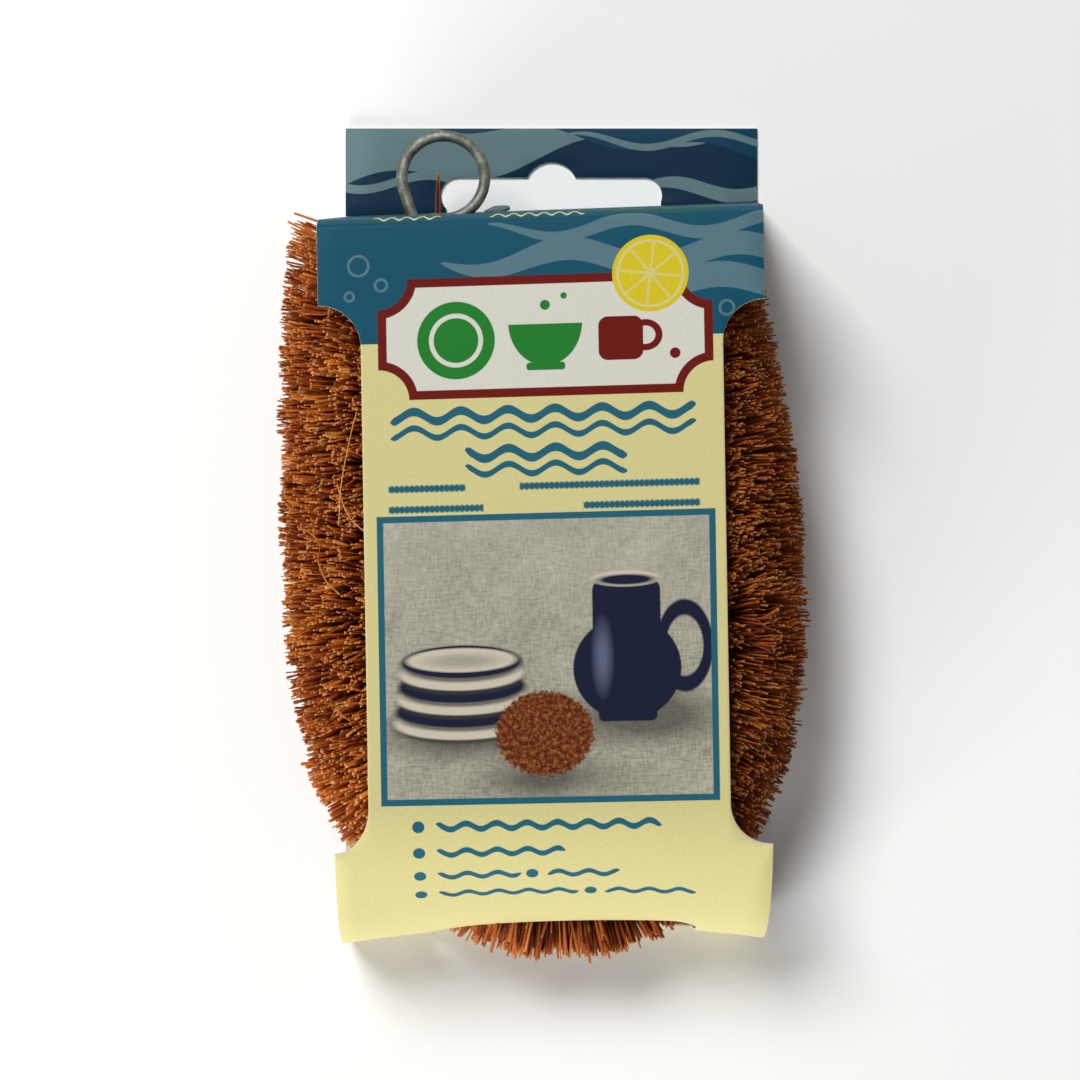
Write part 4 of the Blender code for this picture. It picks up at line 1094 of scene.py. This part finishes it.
def mapStrands(mesh, count, steps):
    # a bake map: every strand has a cell of its own in one square map, with its cut ends beside it
    corners = np.zeros(len(mesh.loops), int)
    starts, sizes = np.zeros((2, len(mesh.polygons)), int)
    mesh.loops.foreach_get("vertex_index", corners)
    mesh.polygons.foreach_get("loop_start", starts)
    mesh.polygons.foreach_get("loop_total", sizes)
    strand, ring, turn = corners // (3 * steps), corners % (3 * steps) // 3, corners % 3
    onEnd = np.repeat(sizes == 3, sizes)
    wraps = np.repeat(np.maximum.reduceat(turn, starts) - np.minimum.reduceat(turn, starts) == 2, sizes)
    around = np.where(wraps & (turn == 0) & ~onEnd, 3, turn) / 3
    along = 0.12 + 0.76 * ring / (steps - 1)
    along = np.where(onEnd & (turn != 1), along + np.where(ring > 0, 0.1, -0.1), along)
    cells = math.ceil(math.sqrt(count))
    u = (strand % cells + 0.04 + 0.92 * around) / cells
    v = (strand // cells + 0.02 + 0.96 * along) / cells
    mesh.uv_layers.new(name="OFBake").uv.foreach_set("vector", np.stack([u, v], 1).astype(np.float32).ravel())


def drawFibres(name, points, radii, tints, rootAlong=0.0):
    # one curve with a three-sided section makes every strand of a bundle
    section = bpy.data.curves.new("section", "CURVE")
    section.dimensions = "2D"
    corners = 2 * math.pi * np.arange(3) / 3
    addSpline(section, np.stack([np.cos(corners), np.sin(corners), 0 * corners], -1), closed=True)
    curve = bpy.data.curves.new(name, "CURVE")
    curve.dimensions = "3D"
    curve.bevel_mode = "OBJECT"
    curve.bevel_object = newObject("section", section)
    count, steps = points.shape[:2]
    for place, radius in zip(points, radii):
        addSpline(curve, place).points.foreach_set("radius", radius)
    mesh = curveMesh(curve)
    bpy.data.objects.remove(curve.bevel_object)
    tint = mesh.attributes.new("fibreTint", "FLOAT", "POINT")
    tint.data.foreach_set("value", np.repeat(tints, 3 * steps))
    along = mesh.attributes.new("fibreAlong", "FLOAT", "POINT")
    along.data.foreach_set("value", np.tile(np.repeat(np.linspace(rootAlong, 1, steps), 3), count))
    bm = bmesh.new()
    bm.from_mesh(mesh)
    bmesh.ops.holes_fill(bm, edges=[e for e in bm.edges if e.is_boundary], sides=3)
    bmesh.ops.recalc_face_normals(bm, faces=bm.faces)
    for face in bm.faces:
        face.smooth = len(face.verts) > 3  # flat cut ends
    bm.to_mesh(mesh)
    bm.free()
    mapStrands(mesh, count, steps)
    return mesh


def coirFibre():
    # retted coconut fibre: woody straw-to-chestnut strands with a dull gloss and pale cut ends, with painted shade
    # towards the wire
    made, tree = newMaterial("natural_coir_fibre")
    tint = addNode(tree, "Attribute", attribute_name="fibreTint").outputs["Fac"]
    along = addNode(tree, "Attribute", attribute_name="fibreAlong").outputs["Fac"]
    place = addNode(tree, "TexCoord").outputs["Object"]
    hue = addNode(tree, "ValToRGB", {"Fac": tint})
    setRamp(hue, [(0.0, "#501B05"), (0.3, "#7C310A"), (0.6, "#9D4C13"), (0.82, "#B46722"), (1.0, "#C88C4E")])
    # patches a few millimetres wide where the batch is lighter or darker
    patch = addNode(tree, "TexNoise", (place, 0, 260.0, 4.0, 0.6))
    patch = addNode(tree, "MapRange", (patch, 0.3, 0.7, 0.72, 1.2))
    # painted shade: the fibres are painted darker towards the wire, where shade falls deep in the brush
    root = addNode(tree, "MapRange", (along, 0.3, 0.94, 0.2, 1.04))
    shade = addNode(tree, "Math", (patch, root), "MULTIPLY")
    colour = addNode(tree, "VectorMath", {0: hue, "Scale": shade}, "SCALE")
    colour = layOver(tree, colour, along, 0.985, 0.999, "#C98F52", 0.6)
    pits = addNode(tree, "TexNoise", (place, 0, 3200.0, 3.0))
    bump = addNode(tree, "Bump", {"Strength": 0.4, "Distance": 0.05 * mm, "Height": pits})
    shader = addNode(tree, "BsdfPrincipled", {
        "Base Color": colour, "Roughness": 0.5, "Specular IOR Level": 0.1, "Normal": bump})
    addNode(tree, "OutputMaterial", {"Surface": shader})
    return made


# fibres that have come loose, by their places in millimetres
loose = {
    "thick": 0.13 * mm, "rootAlong": 0.9, "steps": 7,
    "routes": (
        # lying on the bristles left of the front panel
        ((-32.0, 21.8, 39.6), (-33.0, 17.5, 41.2), (-34.6, 9.5, 40.8), (-35.3, 1.9, 38.8)),
        ((-35.5, 9.0, 38.8), (-34.2, 5.1, 40.4), (-32.8, 2.8, 41.4), (-30.6, 0.8, 41.7)),
        ((-43.0, 1.5, 30.0), (-40.8, 0.9, 34.6), (-38.7, -1.2, 37.8), (-38.9, -4.1, 38.4)),
        ((-38.9, -3.9, 38.4), (-38.0, -6.3, 39.2), (-36.8, -8.2, 39.8), (-35.0, -9.8, 39.6)),
        ((-35.8, -29.1, 38.6), (-35.0, -29.9, 40.0), (-34.2, -30.7, 40.3), (-33.2, -31.4, 39.8)),
        # two that come out with the eye
        ((-18.9, 53.0, 20.4), (-19.2, 57.0, 21.2), (-19.2, 60.6, 21.9), (-18.8, 64.5, 22.7)),
        ((-18.3, 53.0, 20.9), (-18.5, 57.0, 21.4), (-18.5, 60.4, 21.8), (-18.7, 63.7, 22.3)),
    ),
}


def makeLooseFibres():
    points = np.array([smoothRoute(list(np.array(route) * mm), loose["steps"]) for route in loose["routes"]])
    count, steps = points.shape[:2]
    radii = loose["thick"] * np.linspace(0.9, 1.9, count)[:, None] * np.linspace(1.0, 0.85, steps)
    return drawFibres("loose_fibres", points, radii, np.linspace(1.0, 0.5, count), loose["rootAlong"])


# from here on each stage is built and reported
makeStudio()
print("studio and camera ready")

brush = "brush_in_sleeve"
board = bareBoard()
sleeveFolds = [(float(profileAlong[0]) / mm, 1.0), (-100.0, 5.0), (float(profileAlong[-1]) / mm, 1.0)]
tabFolds = [((tab["top"] - sleeve["creaseY"] - tab["gap"]) / mm, 0.5)]
sleevePrint = printedBoard("printed_boxboard_sleeve", sleeveArtwork, sleeveFolds)
tabPrint = printedBoard("printed_boxboard_tab", tabArtwork, tabFolds)
flapPrint = printedBoard("printed_boxboard_flap", flapArtwork, [])
addPiece("card_sleeve_folded", makeSleeveMesh(), [sleevePrint, board], brush, ["card_sleeve"])
addPiece("eye_hole_flap", makeFlapMesh(), [flapPrint, board], brush, [])
addPiece("hang_tab_cut", makeTabMesh(), [tabPrint, board], "hang_tab", ["hang_tab"])
print("card sleeve, flap and hang tab done")

addPiece("core_wire_twisted", makeWireMesh(), [galvanisedSteel()], brush, ["core_wire"])
print("wire done")

fibre = coirFibre()
strands = 0
for number in range(stem["turns"]):
    points, radii, tints = growFibres(number, np.random.default_rng(coir["seed"] * 100 + number))
    node = f"coir_bundle_{number + 1:02d}"
    mesh = drawFibres(node + "_fibres", points, radii, tints)
    addPiece(node + "_fibres", mesh, [fibre], brush, [node])
    strands += len(points)
addPiece("loose_fibres", makeLooseFibres(), [fibre], brush, [])
print("fibres done:", strands)
